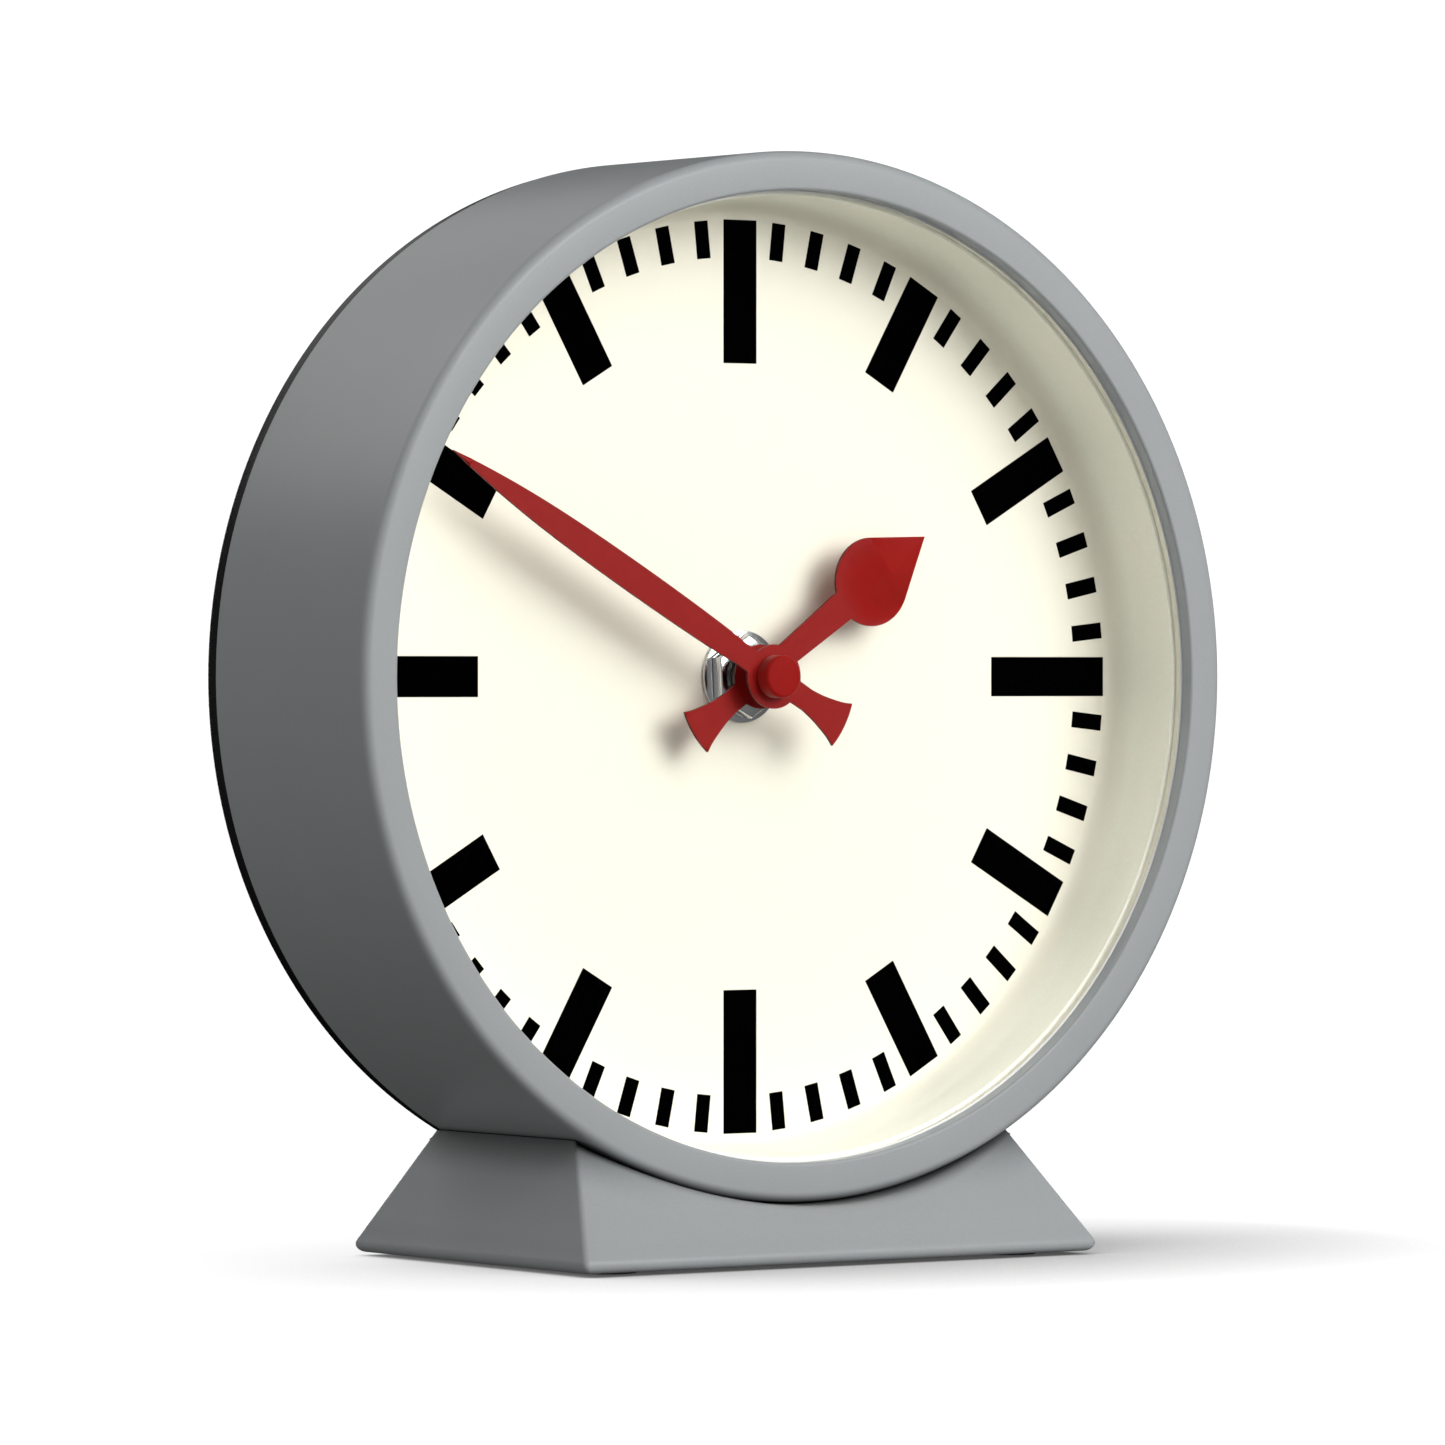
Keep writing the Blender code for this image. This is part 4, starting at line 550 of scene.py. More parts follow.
def smooth_through(points):
    """A curve through the points, both ends included."""
    padded = [points[0], *points, points[-1]]
    curve = []
    for a, b, c, d in zip(padded, padded[1:], padded[2:], padded[3:]):
        for i in range(CURVE_STEPS):
            t = i / CURVE_STEPS
            curve.append(tuple(
                (2 * b[k] + (c[k] - a[k]) * t + (2 * a[k] - 5 * b[k] + 4 * c[k] - d[k]) * t ** 2
                 + (3 * b[k] - a[k] - 3 * c[k] + d[k]) * t ** 3) / 2
                for k in (0, 1)
            ))
    return curve + [points[-1]]


# Shapes


def spun(bm, profile, sides=ROUND_SIDES):
    """Adds a closed ring: the profile, in radius and y, spun about the y axis."""
    rings = []
    for i in range(sides):
        c, s = polar(1, math.tau * i / sides)
        rings.append([bm.verts.new((r * c, y, r * s)) for r, y in profile])
    for one, two in zip(rings, rings[1:] + rings[:1]):
        for i in range(len(profile)):
            j = (i + 1) % len(profile)
            bm.faces.new((one[i], one[j], two[j], two[i]))


def turned(bm, profile, sides=SMALL_SIDES, centre=(0, 0)):
    """Adds a solid whose profile starts and ends on the line along y through centre."""
    tips = [bm.verts.new((centre[0], y, centre[1])) for r, y in (profile[0], profile[-1])]
    rings = []
    for i in range(sides):
        c, s = polar(1, math.tau * i / sides)
        rings.append([bm.verts.new((centre[0] + r * c, y, centre[1] + r * s)) for r, y in profile[1:-1]])
    for one, two in zip(rings, rings[1:] + rings[:1]):
        for i in range(len(one) - 1):
            bm.faces.new((one[i], one[i + 1], two[i + 1], two[i]))
        bm.faces.new((tips[0], one[0], two[0]))
        bm.faces.new((tips[1], two[-1], one[-1]))


def prism(bm, outline, y0, y1):
    """Adds the outline, in x and z, extruded from y0 to y1."""
    front = [bm.verts.new((x, y0, z)) for x, z in outline]
    back = [bm.verts.new((x, y1, z)) for x, z in outline]
    bm.faces.new(front)
    bm.faces.new(reversed(back))
    for i in range(len(outline)):
        j = (i + 1) % len(outline)
        bm.faces.new((front[j], front[i], back[i], back[j]))


def stacked(rings):
    """A solid through closed outlines of one count, each a list of points."""
    bm = bmesh.new()
    loops = [[bm.verts.new(point) for point in ring] for ring in rings]
    bm.faces.new(loops[0])
    bm.faces.new(loops[-1])
    for low, high in zip(loops, loops[1:]):
        for i in range(len(low)):
            j = (i + 1) % len(low)
            bm.faces.new((low[i], low[j], high[j], high[i]))
    return bm


def carved(whole, tool):
    """The first shape less the second; both are used up."""
    things = []
    for bm in (whole, tool):
        bmesh.ops.recalc_face_normals(bm, faces=bm.faces)
        mesh = bpy.data.meshes.new("shape")
        bm.to_mesh(mesh)
        bm.free()
        thing = bpy.data.objects.new("shape", mesh)
        bpy.context.scene.collection.objects.link(thing)
        things.append(thing)
    cut = things[0].modifiers.new("cut", "BOOLEAN")
    cut.operation = "DIFFERENCE"
    cut.solver = "EXACT"
    cut.object = things[1]
    bpy.context.view_layer.update()
    result = bmesh.new()
    result.from_object(things[0], bpy.context.evaluated_depsgraph_get())
    for thing in things:
        mesh = thing.data
        bpy.data.objects.remove(thing)
        bpy.data.meshes.remove(mesh)
    return result


def from_axis(point):
    return math.hypot(point.x, point.z)


def rims_of(bm):
    """The edges that lie across the y axis."""
    return [e for e in bm.edges if abs(e.verts[0].co.y - e.verts[1].co.y) < HAIR]


def rounded_off(bm, edges, width, steps):
    bmesh.ops.bevel(bm, geom=edges, offset=width, segments=steps, profile=0.5, affect="EDGES", clamp_overlap=False)


def rotated(bm, angle):
    """Turns the shape about the y axis."""
    bmesh.ops.rotate(bm, verts=bm.verts, cent=(0, 0, 0), matrix=Matrix.Rotation(angle, 3, "Y"))


def moved(bm, place, *turns):
    """Turns the shape, the last turn first, and takes it to the place."""
    matrix = Matrix.Translation(place)
    for angle, axis in turns:
        matrix = matrix @ Matrix.Rotation(math.radians(angle), 4, axis)
    bmesh.ops.transform(bm, matrix=matrix, verts=bm.verts)


def in_order(bm):
    """The same shape with its points and faces in a set order, which the bevel and the weld leave to chance."""
    faces = []
    for face in bm.faces:
        points = [tuple(v.co) for v in face.verts]
        first = points.index(min(points))
        faces.append(points[first:] + points[:first])
    bm.free()
    ordered = bmesh.new()
    verts = {point: ordered.verts.new(point) for point in sorted({p for face in faces for p in face})}
    for face in sorted(faces):
        ordered.faces.new([verts[point] for point in face])
    return ordered


def new_piece(name, bm, look, body="clock_body", sharp=SHARP_ANGLE):
    """An object from the mesh, drawn about the dial's centre, that rides on a body of the frame."""
    bmesh.ops.dissolve_degenerate(bm, edges=bm.edges, dist=SLIVER)
    bmesh.ops.recalc_face_normals(bm, faces=bm.faces)
    mesh = bpy.data.meshes.new(name)
    bm.to_mesh(mesh)
    bm.free()
    mesh.shade_smooth()
    mesh.set_sharp_from_angle(angle=math.radians(sharp))
    mesh.materials.append(LOOKS[look])
    piece = bpy.data.objects.new(name, mesh)
    bpy.context.scene.collection.objects.link(piece)
    piece.location = (0, DIAL_Y, AXIS_Z)
    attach(piece, body)
    return piece


def finish_some(piece, look, chosen):
    """Gives another finish to the faces for which chosen holds."""
    piece.data.materials.append(LOOKS[look])
    for face in piece.data.polygons:
        if chosen(face):
            face.material_index = 1


# Case, glass, reflector and dial


def case_shell():
    outer, inner = RING_OUTER_ROUND, RING_BORE_ROUND
    inner_r = CASE_R - CASE_WALL
    profile = [(inner_r, SEAM), (CASE_R, SEAM)]
    profile += rounding(RING_FRONT + outer, CASE_R - outer, outer, 90, 180)
    profile += rounding(RING_FRONT + inner, LIP_BORE_R + inner, inner, 180, 270)
    profile += [(LIP_BORE_R, RING_FRONT + LIP_T), (inner_r, RING_FRONT + LIP_T)]
    bm = bmesh.new()
    spun(bm, profile)
    shell = new_piece("case_shell", bm, "grey_case")
    # The lip's bore takes the lighter, bluer copy of the case grey: painted light.
    finish_some(shell, "grey_bore_painted_light", lambda face: from_axis(face.center) < LIP_BORE_R + HAIR)
    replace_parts(shell, "case_drum")


def front_glass():
    edge = GLASS_EDGE
    rim = LIP_BORE_R - SEAT_LINE - GLASS_GAP
    profile = [(0, LENS_FRONT), (rim - edge, LENS_FRONT), (rim, LENS_FRONT + edge)]
    profile += [(rim, LENS_REAR - edge), (rim - edge, LENS_REAR), (0, LENS_REAR)]
    bm = bmesh.new()
    turned(bm, profile, ROUND_SIDES)
    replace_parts(new_piece("front_glass", bm, "clear_glass"), "lens_glass")


def reflector_wall():
    """The cream wall, with a cove down to the dial at its foot and a flange round the glass."""
    outer = WALL_INNER_R + WALL_T
    profile = []
    for across, up in arc((0, 0), 1, -90, 0, WALL_COVE_STEPS):
        profile.append((WALL_INNER_R - WALL_COVE * (1 - across), -WALL_COVE_RISE * (1 + up)))
    profile += rounding(WALL_FRONT + WALL_EDGE, WALL_INNER_R + WALL_EDGE, WALL_EDGE, 270, 180, EDGE_STEPS)
    profile += [(INSERT_R, WALL_FRONT), (INSERT_R, WALL_FRONT + WALL_RIM_T), (outer, WALL_FRONT + WALL_RIM_T)]
    profile += [(outer, WALL_REAR - WALL_RIM_T), (INSERT_R, WALL_REAR - WALL_RIM_T), (INSERT_R, WALL_REAR)]
    profile.append((WALL_INNER_R, WALL_REAR))
    bm = bmesh.new()
    spun(bm, profile)
    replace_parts(new_piece("reflector_wall", bm, "cream_plastic"), "reflector_ring")


def glass_seat():
    """The dull rim round the glass, and at its front a thin white ring that is a painted highlight on the glass's
    edge.
    """
    ledge = RING_FRONT + LIP_T + SEAT_FRONT_GAP
    rear = WALL_FRONT - SEAT_REAR_GAP
    bm = bmesh.new()
    spun(bm, [(LIP_BORE_R, rear), (LIP_BORE_R, ledge), (INSERT_R, ledge), (INSERT_R, rear)])
    new_piece("glass_seat", bm, "seat")
    # A thin white ring at the rear of the lip's bore: a painted highlight on the glass's edge.
    inner, back = LIP_BORE_R - SEAT_LINE, ledge + SEAT_LINE
    bm = bmesh.new()
    spun(bm, [(inner, back), (inner, ledge), (LIP_BORE_R, ledge), (LIP_BORE_R, back)])
    new_piece("glass_edge_highlight", bm, "white_nylon")


def dial_face():
    profile = [(BUSH_HOLE_R, 0), (INSERT_R, 0), (INSERT_R, DIAL_T), (BUSH_HOLE_R, DIAL_T)]
    bm = bmesh.new()
    spun(bm, profile)
    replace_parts(new_piece("dial_face", bm, "dial_print"), "dial_plate")


def dial_marks():
    """The printed bars and ticks, one film of ink each."""
    bm = bmesh.new()
    for minute in range(60):
        if minute % 15 == 0:
            inner, half = LONG_BAR_INNER, BAR_HALF
        elif minute % 5 == 0:
            inner, half = BAR_INNER, BAR_HALF
        else:
            inner, half = TICK_INNER, TICK_HALF
        c, s = polar(1, -math.tau * minute / 60)
        corners = ((-half, inner), (half, inner), (half, BAR_OUTER), (-half, BAR_OUTER))
        prism(bm, [(x * c - z * s, x * s + z * c) for x, z in corners], -PRINT_T, PRINT_T)
    new_piece("dial_marks", bm, "dial_ink")


# Nut, washer and bush


def nut_and_washer():
    rear = -STACK_GAP
    front = rear - WASHER_T
    profile = [(WASHER_BORE_R, rear), (WASHER_R, rear)]
    profile += rounding(front + WASHER_EDGE, WASHER_R - WASHER_EDGE, WASHER_EDGE, 90, 180, EDGE_STEPS)
    profile.append((WASHER_BORE_R, front))
    bm = bmesh.new()
    spun(bm, profile, SMALL_SIDES)
    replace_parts(new_piece("chrome_washer", bm, "bright_metal"), "dial_washer")
    rear = front - STACK_GAP
    front = rear - NUT_T
    corners = [polar(NUT_FLATS / math.sqrt(3), math.radians(30 + 60 * i) + NUT_TURN) for i in range(6)]
    bm = bmesh.new()
    prism(bm, corners, front, rear)
    rounded_off(bm, rims_of(bm), NUT_EDGE, NUT_EDGE_STEPS)
    hole = bmesh.new()
    turned(hole, [(0, front * 2), (NUT_BORE_R, front * 2), (NUT_BORE_R, -front), (0, -front)])
    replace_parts(new_piece("chrome_nut", carved(bm, hole), "bright_metal", sharp=CARVED_SHARP_ANGLE), "dial_nut")


def threaded_tube():
    """The bush, with its thread as fine rings, down to its flange behind the dial; its dark steel is partly painted
    shade.
    """
    low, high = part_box("threaded_bush")
    front, rear = low.y - DIAL_Y, high.y - DIAL_Y
    flange = (high.x - low.x) / 2
    profile = [(BUSH_BORE, front), (BUSH_R - THREAD_DEPTH, front)]
    for i in range(int(-front / THREAD_PITCH)):
        y = front + THREAD_PITCH * i
        profile += [(BUSH_R, y + THREAD_PITCH * share) for share in THREAD_CREST]
        profile.append((BUSH_R - THREAD_DEPTH, y + THREAD_PITCH))
    profile += [(BUSH_R, 0), (BUSH_R, rear - BUSH_FLANGE_T), (flange, rear - BUSH_FLANGE_T)]
    profile += [(flange, rear), (BUSH_BORE, rear)]
    bm = bmesh.new()
    spun(bm, profile, SMALL_SIDES)
    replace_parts(new_piece("threaded_tube", bm, "dark_steel_and_gap_shade"), "threaded_bush")


# Base


def foot_inset(height, lean):
    """How far a leaning face with a rounded foot lies inside the block's sharp foot."""
    foot = BASE_FOOT_ROUND
    if height > foot * (1 + math.sin(lean)):
        return height * math.tan(lean)
    return foot * math.tan(math.pi / 4 + lean / 2) - math.sqrt(foot ** 2 - (height - foot) ** 2)


def room_inset(height, lean):
    """How far the same face of the room inside lies in."""
    return height * math.tan(lean) + BASE_WALL


def base_block(heights, inset):
    """A block on the base's plan, each face drawn in by inset at each height."""
    side, front_lean, rear_lean = BASE_LEANS
    rings = []
    for height in heights:
        half = BASE_WIDTH / 2 - inset(height, side)
        front = -BASE_FRONT_REACH + inset(height, front_lean)
        rear = BASE_DEPTH - BASE_FRONT_REACH - inset(height, rear_lean)
        outline = rounded_rectangle(-half, half, front, rear, BASE_CORNER_ROUND)
        rings.append([(x, y, height - BASE_FLOOR) for x, y in outline])
    return stacked(rings)


def lying_cylinder(radius):
    bm = bmesh.new()
    turned(bm, [(0, -BASE_DEPTH), (radius, -BASE_DEPTH), (radius, BASE_DEPTH), (0, BASE_DEPTH)], ROUND_SIDES)
    return bm


def saddle_rims(bm):
    """The edges of the saddle towards the front and rear faces."""
    near = SADDLE_R + HAIR * 3
    in_saddle = {f for f in bm.faces if all(from_axis(v.co) < near for v in f.verts)}
    rims = []
    for edge in bm.edges:
        outside = [f for f in edge.link_faces if f not in in_saddle]
        if len(outside) == 1 and len(edge.link_faces) == 2 and abs(outside[0].normal.y) > FACING_NORMAL:
            rims.append(edge)
    return rims


def base_body():
    """The sloping base with its rounded foot, a saddle with a rounded edge, and a room open below."""
    heights = [BASE_FOOT_ROUND * (1 + math.sin(math.radians(a))) for a in BASE_FOOT_ANGLES]
    bm = carved(base_block(heights + [BASE_STOCK_H], foot_inset), lying_cylinder(SADDLE_R))
    rounded_off(bm, saddle_rims(bm), SADDLE_ROUND, SADDLE_ROUND_STEPS)
    room = base_block((-BASE_WALL, BASE_STOCK_H), room_inset)
    bm = carved(bm, carved(room, lying_cylinder(SADDLE_R + BASE_WALL)))
    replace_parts(new_piece("base_body", bm, "grey_base", sharp=CARVED_SHARP_ANGLE), "base_shell")


# Hands, drawn towards +z and then turned to the time shown


def tail_side():
    points = [(TAIL_NECK, -TAIL_NECK_AT)]
    for down, out in TAIL_SHAPE_SHARES:
        x = TAIL_NECK + (TAIL_END - TAIL_NECK) * out
        points.append((x, -TAIL_NECK_AT - (TAIL_LENGTH - TAIL_NECK_AT) * down))
    return smooth_through(points)


def tail_end():
    x, z = tail_side()[-1]
    spread = math.degrees(math.atan2(x, -z))
    return arc((0, 0), math.hypot(x, z), 270 + spread, 270 - spread, TAIL_END_STEPS)[1:-1]


def hub_side(from_half, to_half):
    start = math.degrees(math.acos(from_half / HUB_R))
    end = -math.degrees(math.acos(to_half / HUB_R))
    return arc((0, 0), HUB_R, start, end, HUB_STEPS)


def mirrored_outline(side, tip):
    return [tip] + side + tail_end() + [(-x, z) for x, z in reversed(side)]


def hour_outline():
    shoulder = math.degrees(math.asin(SPADE_R / (HOUR_LENGTH - SPADE_AT)))
    foot = -math.degrees(math.acos(HOUR_STEM_FAR / SPADE_R))
    side = arc((0, SPADE_AT), SPADE_R, shoulder, foot, SPADE_STEPS)
    side += hub_side(HOUR_STEM_NEAR, TAIL_NECK) + tail_side()
    return mirrored_outline(side, (0, HOUR_LENGTH))


def minute_outline():
    widths = [(MINUTE_BELLY * half, MINUTE_LENGTH * out) for out, half in reversed(MINUTE_SHAPE_SHARES)]
    side = smooth_through(widths)
    side += hub_side(MINUTE_BELLY * MINUTE_SHAPE_SHARES[0][1], TAIL_NECK) + tail_side()
    return mirrored_outline(side, (0, MINUTE_LENGTH))


def hand(name, outline, plane, collar, body, angle, node):
    """A stamped hand with a collar and slightly rounded edges, its cut sides a darker red that is painted shade."""
    bm = bmesh.new()
    prism(bm, outline, -plane, HAND_T - plane)
    rims = rims_of(bm)
    radius, bore, y0, y1 = collar
    spun(bm, [(bore, y0), (radius, y0), (radius, y1), (bore, y1)], SMALL_SIDES)
    rounded_off(bm, rims, HAND_EDGE, HAND_EDGE_STEPS)
    bmesh.ops.remove_doubles(bm, verts=bm.verts, dist=SLIVER)
    bmesh.ops.triangulate(bm, faces=[f for f in bm.faces if len(f.verts) > 4])
    rotated(bm, angle)
    piece = new_piece(name, in_order(bm), "red_paint", body, HAND_SHARP_ANGLE)
    # The cut sides take the darker copy of the red: painted shade.
    finish_some(
        piece,
        "red_edge_painted_shade",
        lambda face: abs(face.normal.y) < SIDE_NORMAL and from_axis(face.center) > radius + HAIR,
    )
    piece.visible_glossy = False
    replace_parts(piece, node)


def hands():
    """Both hands: the hour hand's collar stands before its blade, the minute hand's behind it."""
    collar = (HOUR_COLLAR_R, HOUR_BORE, -HOUR_PLANE - HOUR_COLLAR_L, -HOUR_PLANE - HAIR)
    hand("hour_pointer", hour_outline(), HOUR_PLANE, collar, "hour_group", HOUR_ANGLE, "hour_hand")
    back = HAND_T - MINUTE_PLANE
    collar = (MINUTE_COLLAR_R, MINUTE_BORE, back + HAIR, back + MINUTE_COLLAR_L)
    hand("minute_pointer", minute_outline(), MINUTE_PLANE, collar, "minute_group", MINUTE_ANGLE, "minute_hand")


def centre_cap():
    rear = -MINUTE_PLANE - CAP_GAP
    profile = [(0, rear), (CAP_R, rear)]
    profile += rounding(CAP_ROUND - CAP_FRONT, CAP_R - CAP_ROUND, CAP_ROUND, 90, 180)
    profile.append((0, -CAP_FRONT))
    bm = bmesh.new()
    turned(bm, profile)
    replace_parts(new_piece("centre_cap", bm, "red_cap", "minute_group"), "hand_cap")


# Screws


def cover_screw_places():
    places = []
    for i in range(1, 5):
        low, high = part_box(f"cover_screw_{i}")
        places.append(((low.x + high.x) / 2, (low.z + high.z) / 2 - AXIS_Z))
    return places


def cross_recesses():
    """The two tapered slots, crossed, that a driver fits, sunk from zero along -y."""
    narrow = CROSS_HALF * 2
    outline = ((-CROSS_R, CROSS_DEPTH), (CROSS_R, CROSS_DEPTH), (CROSS_R, 0), (narrow, -CROSS_DEPTH))
    outline += ((-narrow, -CROSS_DEPTH), (-CROSS_R, 0))
    slots = []
    for turn in (0, 90):
        bm = stacked([[(x, y, z) for x, y in outline] for z in (-CROSS_HALF, CROSS_HALF)])
        rotated(bm, math.radians(turn))
        slots.append(bm)
    return slots


def screw_shape(radius, head_r, head_h, length, flush):
    """A screw along y, its head's crown near zero, its thread as fine rings and its point towards -y."""
    edge = SCREW_THREAD_DEPTH
    y = -length + radius * SCREW_POINT_SHARE
    profile = [(0, -length), (radius, y)]
    while y < -head_h - SCREW_PITCH * 2:
        profile += [(radius - edge, y + SCREW_PITCH / 4), (radius, y + SCREW_PITCH / 2)]
        y += SCREW_PITCH
        profile.append((radius - edge, y))
    profile.append((radius, -head_h))
    if flush:
        profile += [(head_r, -edge), (head_r - edge, 0), (0, 0)]
    else:
        profile += [(head_r * out, -head_h * up) for out, up in PAN_HEAD_SHARES] + [(0, 0)]
    bm = bmesh.new()
    turned(bm, profile, SMALL_SIDES // 2)
    for slot in cross_recesses():
        bm = carved(bm, slot)
    return bm


def cover_screws():
    for i, ((x, z), turn) in enumerate(zip(cover_screw_places(), COVER_SCREW_TURNS), start=1):
        low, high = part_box(f"cover_screw_{i}")
        bm = screw_shape(SCREW_R, SCREW_HEAD_R, SCREW_HEAD_H, high.y - low.y, True)
        moved(bm, (x, COVER_REAR, z), (turn, "Y"))
        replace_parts(new_piece(f"cover_fixing_{i}", bm, "steel", sharp=SCREW_SHARP_ANGLE), f"cover_screw_{i}")


def plate_screws():
    """The two screws that hold the base's plate, their heads seen from below."""
    for i, turn in enumerate(PLATE_SCREW_TURNS, start=1):
        low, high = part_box(f"plate_screw_{i}")
        head_r = (high.x - low.x) / 2
        core, head_h = head_r * PLATE_SCREW_CORE_SHARE, head_r * PLATE_SCREW_HEAD_SHARE
        bm = screw_shape(core, head_r, head_h, high.z - low.z, False)
        place = ((low.x + high.x) / 2, (low.y + high.y) / 2 - DIAL_Y, low.z - AXIS_Z)
        moved(bm, place, (-90, "X"), (turn, "Y"))
        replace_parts(new_piece(f"plate_fixing_{i}", bm, "steel", sharp=SCREW_SHARP_ANGLE), f"plate_screw_{i}")


# Back cover


def window_tool():
    """What cuts the window for the movement, wider at the outer face for a chamfer."""
    chamfer = WINDOW_CHAMFER
    steps = (
        (0, COVER_FRONT),
        (0, COVER_REAR - chamfer),
        (chamfer, COVER_REAR),
        (chamfer * 2, COVER_REAR + chamfer),
    )
    rings = []
    for grow, y in steps:
        rings.append([(x, y, z) for x, z in rounded_square(WINDOW_HALF + grow, WINDOW_CORNER + grow)])
    return stacked(rings)


def back_cover():
    """The cover: a rimmed disc with its skirt, a window for the movement and four countersunk holes."""
    front, rear, radius = COVER_FRONT, COVER_REAR, COVER_R
    panel = rear - COVER_PANEL_T
    seat = rear - COVER_RIM_T
    profile = [(0, panel), (INSERT_R - SKIRT_WALL, panel), (INSERT_R - SKIRT_WALL, front), (INSERT_R, front)]
    profile += [(INSERT_R, seat), (radius, seat)]
    profile += rounding(rear - COVER_ROUND, radius - COVER_ROUND, COVER_ROUND, 90, 0)
    profile += [(radius - COVER_ROUND - COVER_ROUND_BAND, rear), (0, rear)]
    bm = bmesh.new()
    turned(bm, profile, ROUND_SIDES)
    bm = carved(bm, window_tool())
    wide = SCREW_HEAD_R + SCREW_HOLE_GAP
    for place in cover_screw_places():
        hole = bmesh.new()
        walls = [(SCREW_R, front), (SCREW_R, rear - SCREW_HEAD_H - SCREW_SINK), (wide, rear), (wide, rear * 2)]
        turned(hole, [(0, front), *walls, (0, rear * 2)], SMALL_SIDES, place)
        bm = carved(bm, hole)
    cover = new_piece("back_cover", bm, "black_plastic", sharp=CARVED_SHARP_ANGLE)
    # The rounded rim takes the darker copy of the black plastic: painted shade.
    finish_some(cover, "black_rim_painted_shade", lambda face: from_axis(face.center) > radius - COVER_ROUND)
    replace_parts(cover, "rear_cover")


def window_collar():
    """The collar that runs from the cover's window down to the movement."""
    panel = COVER_REAR - COVER_PANEL_T
    outer = rounded_square(WINDOW_HALF + WINDOW_LIP, WINDOW_CORNER + WINDOW_LIP)
    inner = rounded_square(WINDOW_HALF, WINDOW_CORNER)
    bm = bmesh.new()
    ends = (panel - COLLAR_DEPTH, panel + HAIR)
    loops = [[bm.verts.new((x, y, z)) for x, z in line] for y in ends for line in (outer, inner)]
    for one, two in ((0, 1), (1, 3), (3, 2), (2, 0)):
        for i in range(len(outer)):
            j = (i + 1) % len(outer)
            bm.faces.new((loops[one][i], loops[one][j], loops[two][j], loops[two][i]))
    new_piece("window_collar", bm, "black_plastic")


# Cell, drawn along y and then laid along x


def cell_can(middle, can, half):
    """The metal can, dished at its flat end, with its nub."""
    edge, dish = CELL_EDGE, WRAP_CURL
    shoulder = half - dish / 2
    tip = half + CELL_NUB_L
    profile = [(0, dish - half), (can - edge * 3, dish - half), (can - edge * 2, -half), (can - edge, -half)]
    profile += [(can, -half + edge), (can, half - edge), (can - edge, shoulder), (can - edge * 4, shoulder)]
    profile += [(CELL_NUB_R + edge / 2, half), (CELL_NUB_R, half), (CELL_NUB_R, tip - dish / 2)]
    profile += [(CELL_NUB_R - dish / 2, tip), (0, tip)]
    bm = bmesh.new()
    turned(bm, profile)
    moved(bm, middle, (-90, "Z"))
    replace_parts(new_piece("cell_can", bm, "steel", "battery_group"), "battery_cell")


def cell_sleeve(middle, can, radius, half):
    """The shrunk wrap, which curls over both ends."""
    edge, dish = CELL_EDGE, WRAP_CURL
    shoulder = half - dish / 2
    profile = [(can, edge - half), (can - edge, -half + HAIR), (can - edge - dish, -half)]
    profile += [(can - edge, -half - HAIR), (radius, edge - half), (radius, half - edge)]
    profile += [(can - edge, shoulder + HAIR * 2), (can - edge - dish, shoulder + HAIR)]
    profile += [(can - edge, shoulder), (can, half - edge)]
    bm = bmesh.new()
    spun(bm, profile, SMALL_SIDES)
    moved(bm, middle, (-90, "Z"))
    new_piece("cell_sleeve", bm, "cell_wrap", "battery_group")


def cell_band(middle, radius, half):
    """The ring printed round the wrap."""
    start, end = (half * share for share in BAND_SHARES)
    bm = bmesh.new()
    spun(bm, [(radius, start), (radius, end), (radius + PRINT_T, end), (radius + PRINT_T, start)], SMALL_SIDES)
    moved(bm, middle, (-90, "Z"))
    new_piece("cell_band", bm, "pale_print", "battery_group")


def cell_signs(middle, radius, half):
    """A plus by the nub and a minus by the flat end, printed on the wrap's rear side."""
    strokes = (
        (half * PLUS_SHARE, SIGN_HALF, SIGN_STROKE),
        (half * PLUS_SHARE, SIGN_STROKE, SIGN_HALF),
        (half * MINUS_SHARE, SIGN_HALF, SIGN_STROKE),
    )
    bm = bmesh.new()
    for x, reach_x, reach_z in strokes:
        rows = []
        for i in range(SIGN_STEPS + 1):
            c, s = polar(1, (2 * i / SIGN_STEPS - 1) * reach_z / radius)
            row = []
            for r in (radius - HAIR, radius + SIGN_T):
                for dx in (-reach_x, reach_x):
                    row.append(bm.verts.new((x + dx, r * c, r * s)))
            rows.append(row)
        for one, two in zip(rows, rows[1:]):
            for a, b in ((0, 1), (1, 3), (3, 2), (2, 0)):
                bm.faces.new((one[a], one[b], two[b], two[a]))
        for row in (rows[0], rows[-1]):
            bm.faces.new((row[0], row[1], row[3], row[2]))
    bmesh.ops.translate(bm, verts=bm.verts, vec=middle)
    new_piece("cell_signs", bm, "pale_print", "battery_group")


def cell():
    """The dry cell in its wrap, with a band and its signs."""
    low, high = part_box("battery_cell")
    radius = (high.z - low.z) / 2
    half = (high.x - low.x - CELL_NUB_L) / 2
    middle = Vector((low.x + half, (low.y + high.y) / 2 - DIAL_Y, (low.z + high.z) / 2 - AXIS_Z))
    cell_can(middle, radius - WRAP_T, half)
    cell_sleeve(middle, radius - WRAP_T, radius, half)
    cell_band(middle, radius, half)
    cell_signs(middle, radius, half)


# Finishes on the nodes that keep their own mesh


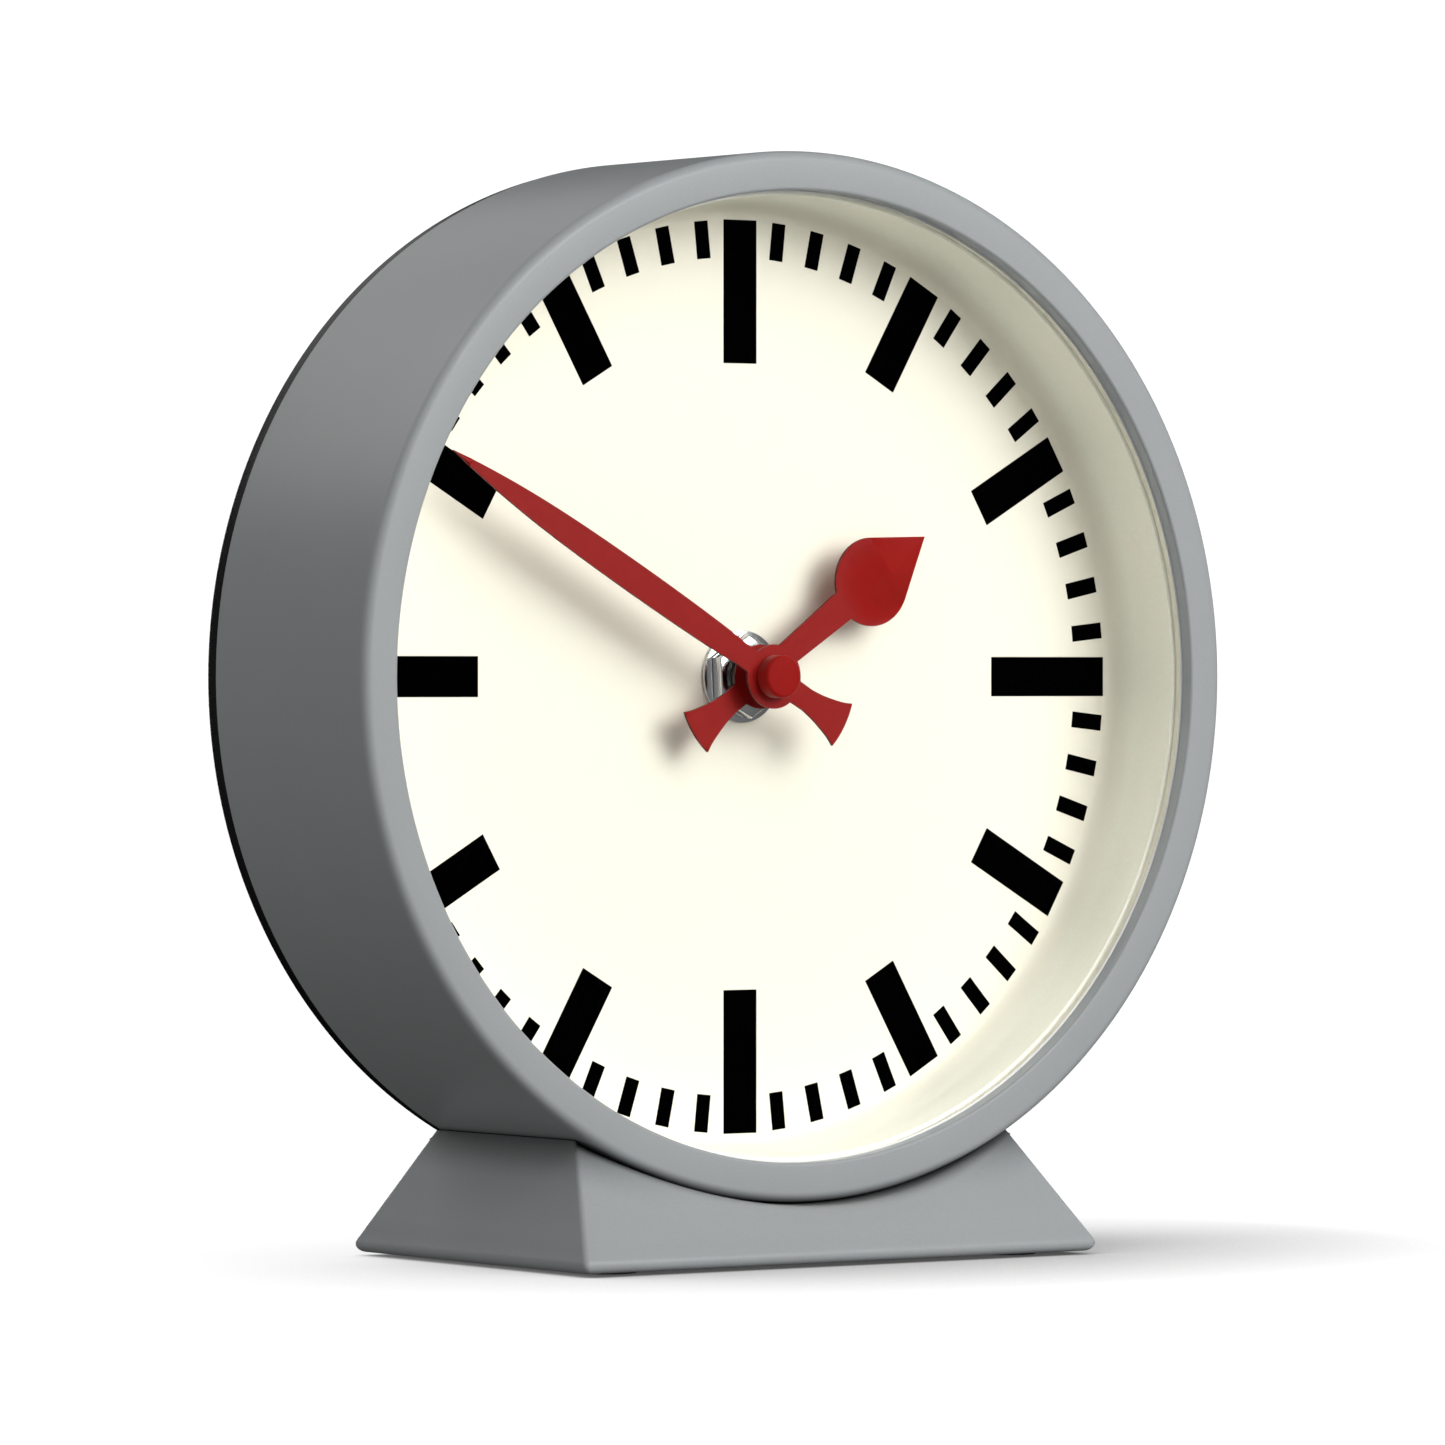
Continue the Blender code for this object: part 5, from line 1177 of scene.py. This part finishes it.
def dress_nodes():
    """Gives each node the finish that its slot in the record names, and some of them softer edges."""
    for row in frame["record"]["subparts"]:
        node = frame["nodes"][row["node"]]
        node.data.materials.clear()
        node.data.materials.append(LOOKS[row["material_slot"]])
    for name, width in SOFT_EDGES.items():
        edge = frame["nodes"][name].modifiers.new("edge", "BEVEL")
        edge.width = width
        edge.segments = SOFT_EDGE_STEPS
        edge.limit_method = "ANGLE"
        edge.angle_limit = SOFT_EDGE_ANGLE


# Studio


def emitting(name, colour, strength):
    """A dull material that gives off white light."""
    material, shader = shader_of(name)
    shader.inputs["Base Color"].default_value = (*colour, 1.0)
    shader.inputs["Emission Color"].default_value = (*WHITE, 1.0)
    shader.inputs["Emission Strength"].default_value = strength
    shader.inputs["Roughness"].default_value = 0.9
    shader.inputs["Specular IOR Level"].default_value = 0.0
    return material, shader


def floor_look():
    """White that darkens softly close to the clock, most to its right and behind it."""
    material, shader = emitting("studio_floor_look", FLOOR_GREY, 1.0)
    tree = material.node_tree
    near = openness(tree, SHADOW_REACH)
    lean = tree.nodes.new("ShaderNodeCombineXYZ")
    for axis, value in zip("XYZ", Vector(SHADOW_LEAN).normalized()):
        lean.inputs[axis].default_value = value
    tree.links.new(lean.outputs["Vector"], near.inputs["Normal"])
    deeper = stepped(tree, near.outputs["AO"], [("POWER", SHADOW_DEPTH)])
    tree.links.new(deeper, shader.inputs["Emission Strength"])
    return material


def stage_piece(name, bm, material):
    """A floor or backdrop that only the camera sees, so that it doesn't light the clock."""
    mesh = bpy.data.meshes.new(name)
    bm.to_mesh(mesh)
    bm.free()
    mesh.materials.append(material)
    piece = bpy.data.objects.new(name, mesh)
    bpy.context.scene.collection.objects.link(piece)
    piece.visible_diffuse = False
    piece.visible_glossy = False
    return piece


def floor_and_dome():
    bm = bmesh.new()
    bmesh.ops.create_circle(bm, cap_ends=True, segments=DOME_SIDES, radius=FLOOR_R)
    stage_piece("studio_floor", bm, floor_look())
    bm = bmesh.new()
    bmesh.ops.create_uvsphere(bm, u_segments=DOME_SIDES, v_segments=DOME_SIDES // 2, radius=DOME_R)
    dome = stage_piece("studio_dome", bm, emitting("studio_dome_look", BLACK, DOME_GLOW)[0])
    dome.visible_shadow = False
    dome.visible_transmission = False


def area_light(name, direction, distance, size, power, mirrored):
    """A round soft light that looks at the dial's centre; its own disc shows in gloss where mirrored."""
    data = bpy.data.lights.new(name, "AREA")
    data.shape = "DISK"
    data.size = size
    data.energy = power
    light = bpy.data.objects.new(name, data)
    bpy.context.scene.collection.objects.link(light)
    away = Vector(direction).normalized()
    light.location = Vector((0, DIAL_Y, AXIS_Z)) + away * distance
    light.rotation_euler = away.to_track_quat("Z", "Y").to_euler()
    light.visible_glossy = mirrored


def world_light():
    """A soft surround, the sum of a broad lobe of light from each side that has one."""
    world = bpy.data.worlds.new("studio")
    world.use_nodes = True
    bpy.context.scene.world = world
    tree = world.node_tree
    place = tree.nodes.new("ShaderNodeTexCoord")
    total = None
    for direction, strength in SURROUND:
        facing = tree.nodes.new("ShaderNodeVectorMath")
        facing.operation = "DOT_PRODUCT"
        facing.inputs[1].default_value = direction
        tree.links.new(place.outputs["Generated"], facing.inputs[0])
        lobe = (("MAXIMUM", 0.0), ("POWER", LOBE_POWER), ("MULTIPLY", strength))
        value = stepped(tree, facing.outputs["Value"], lobe)
        if total is not None:
            added = tree.nodes.new("ShaderNodeMath")
            tree.links.new(total, added.inputs[0])
            tree.links.new(value, added.inputs[1])
            value = added.outputs["Value"]
        total = value
    tree.links.new(total, tree.nodes["Background"].inputs["Strength"])
    tree.nodes["Background"].inputs["Color"].default_value = (*WHITE, 1.0)


def camera():
    data = bpy.data.cameras.new("camera")
    data.sensor_width = SENSOR
    data.lens = SENSOR * CAMERA_DISTANCE * PIXELS_PER_METRE / PHOTO_SIZE
    data.shift_x = (PHOTO_SIZE / 2 - AXIS_PIXEL[0]) / PHOTO_SIZE
    data.shift_y = (AXIS_PIXEL[1] - PHOTO_SIZE / 2) / PHOTO_SIZE
    data.clip_start, data.clip_end = CLIP
    eye = bpy.data.objects.new("camera", data)
    bpy.context.scene.collection.objects.link(eye)
    eye.location = (
        -CAMERA_DISTANCE * math.sin(CAMERA_TURN),
        DIAL_Y - CAMERA_DISTANCE * math.cos(CAMERA_TURN),
        AXIS_Z,
    )
    eye.rotation_euler = (math.radians(90), 0, -CAMERA_TURN)
    bpy.context.scene.camera = eye
    bpy.context.scene.view_settings.view_transform = "Standard"


dress_nodes()
case_shell()
front_glass()
reflector_wall()
glass_seat()
dial_face()
dial_marks()
nut_and_washer()
threaded_tube()
base_body()
hands()
centre_cap()
back_cover()
window_collar()
cover_screws()
plate_screws()
cell()
floor_and_dome()
world_light()
for light in LIGHTS:
    area_light(*light)
camera()
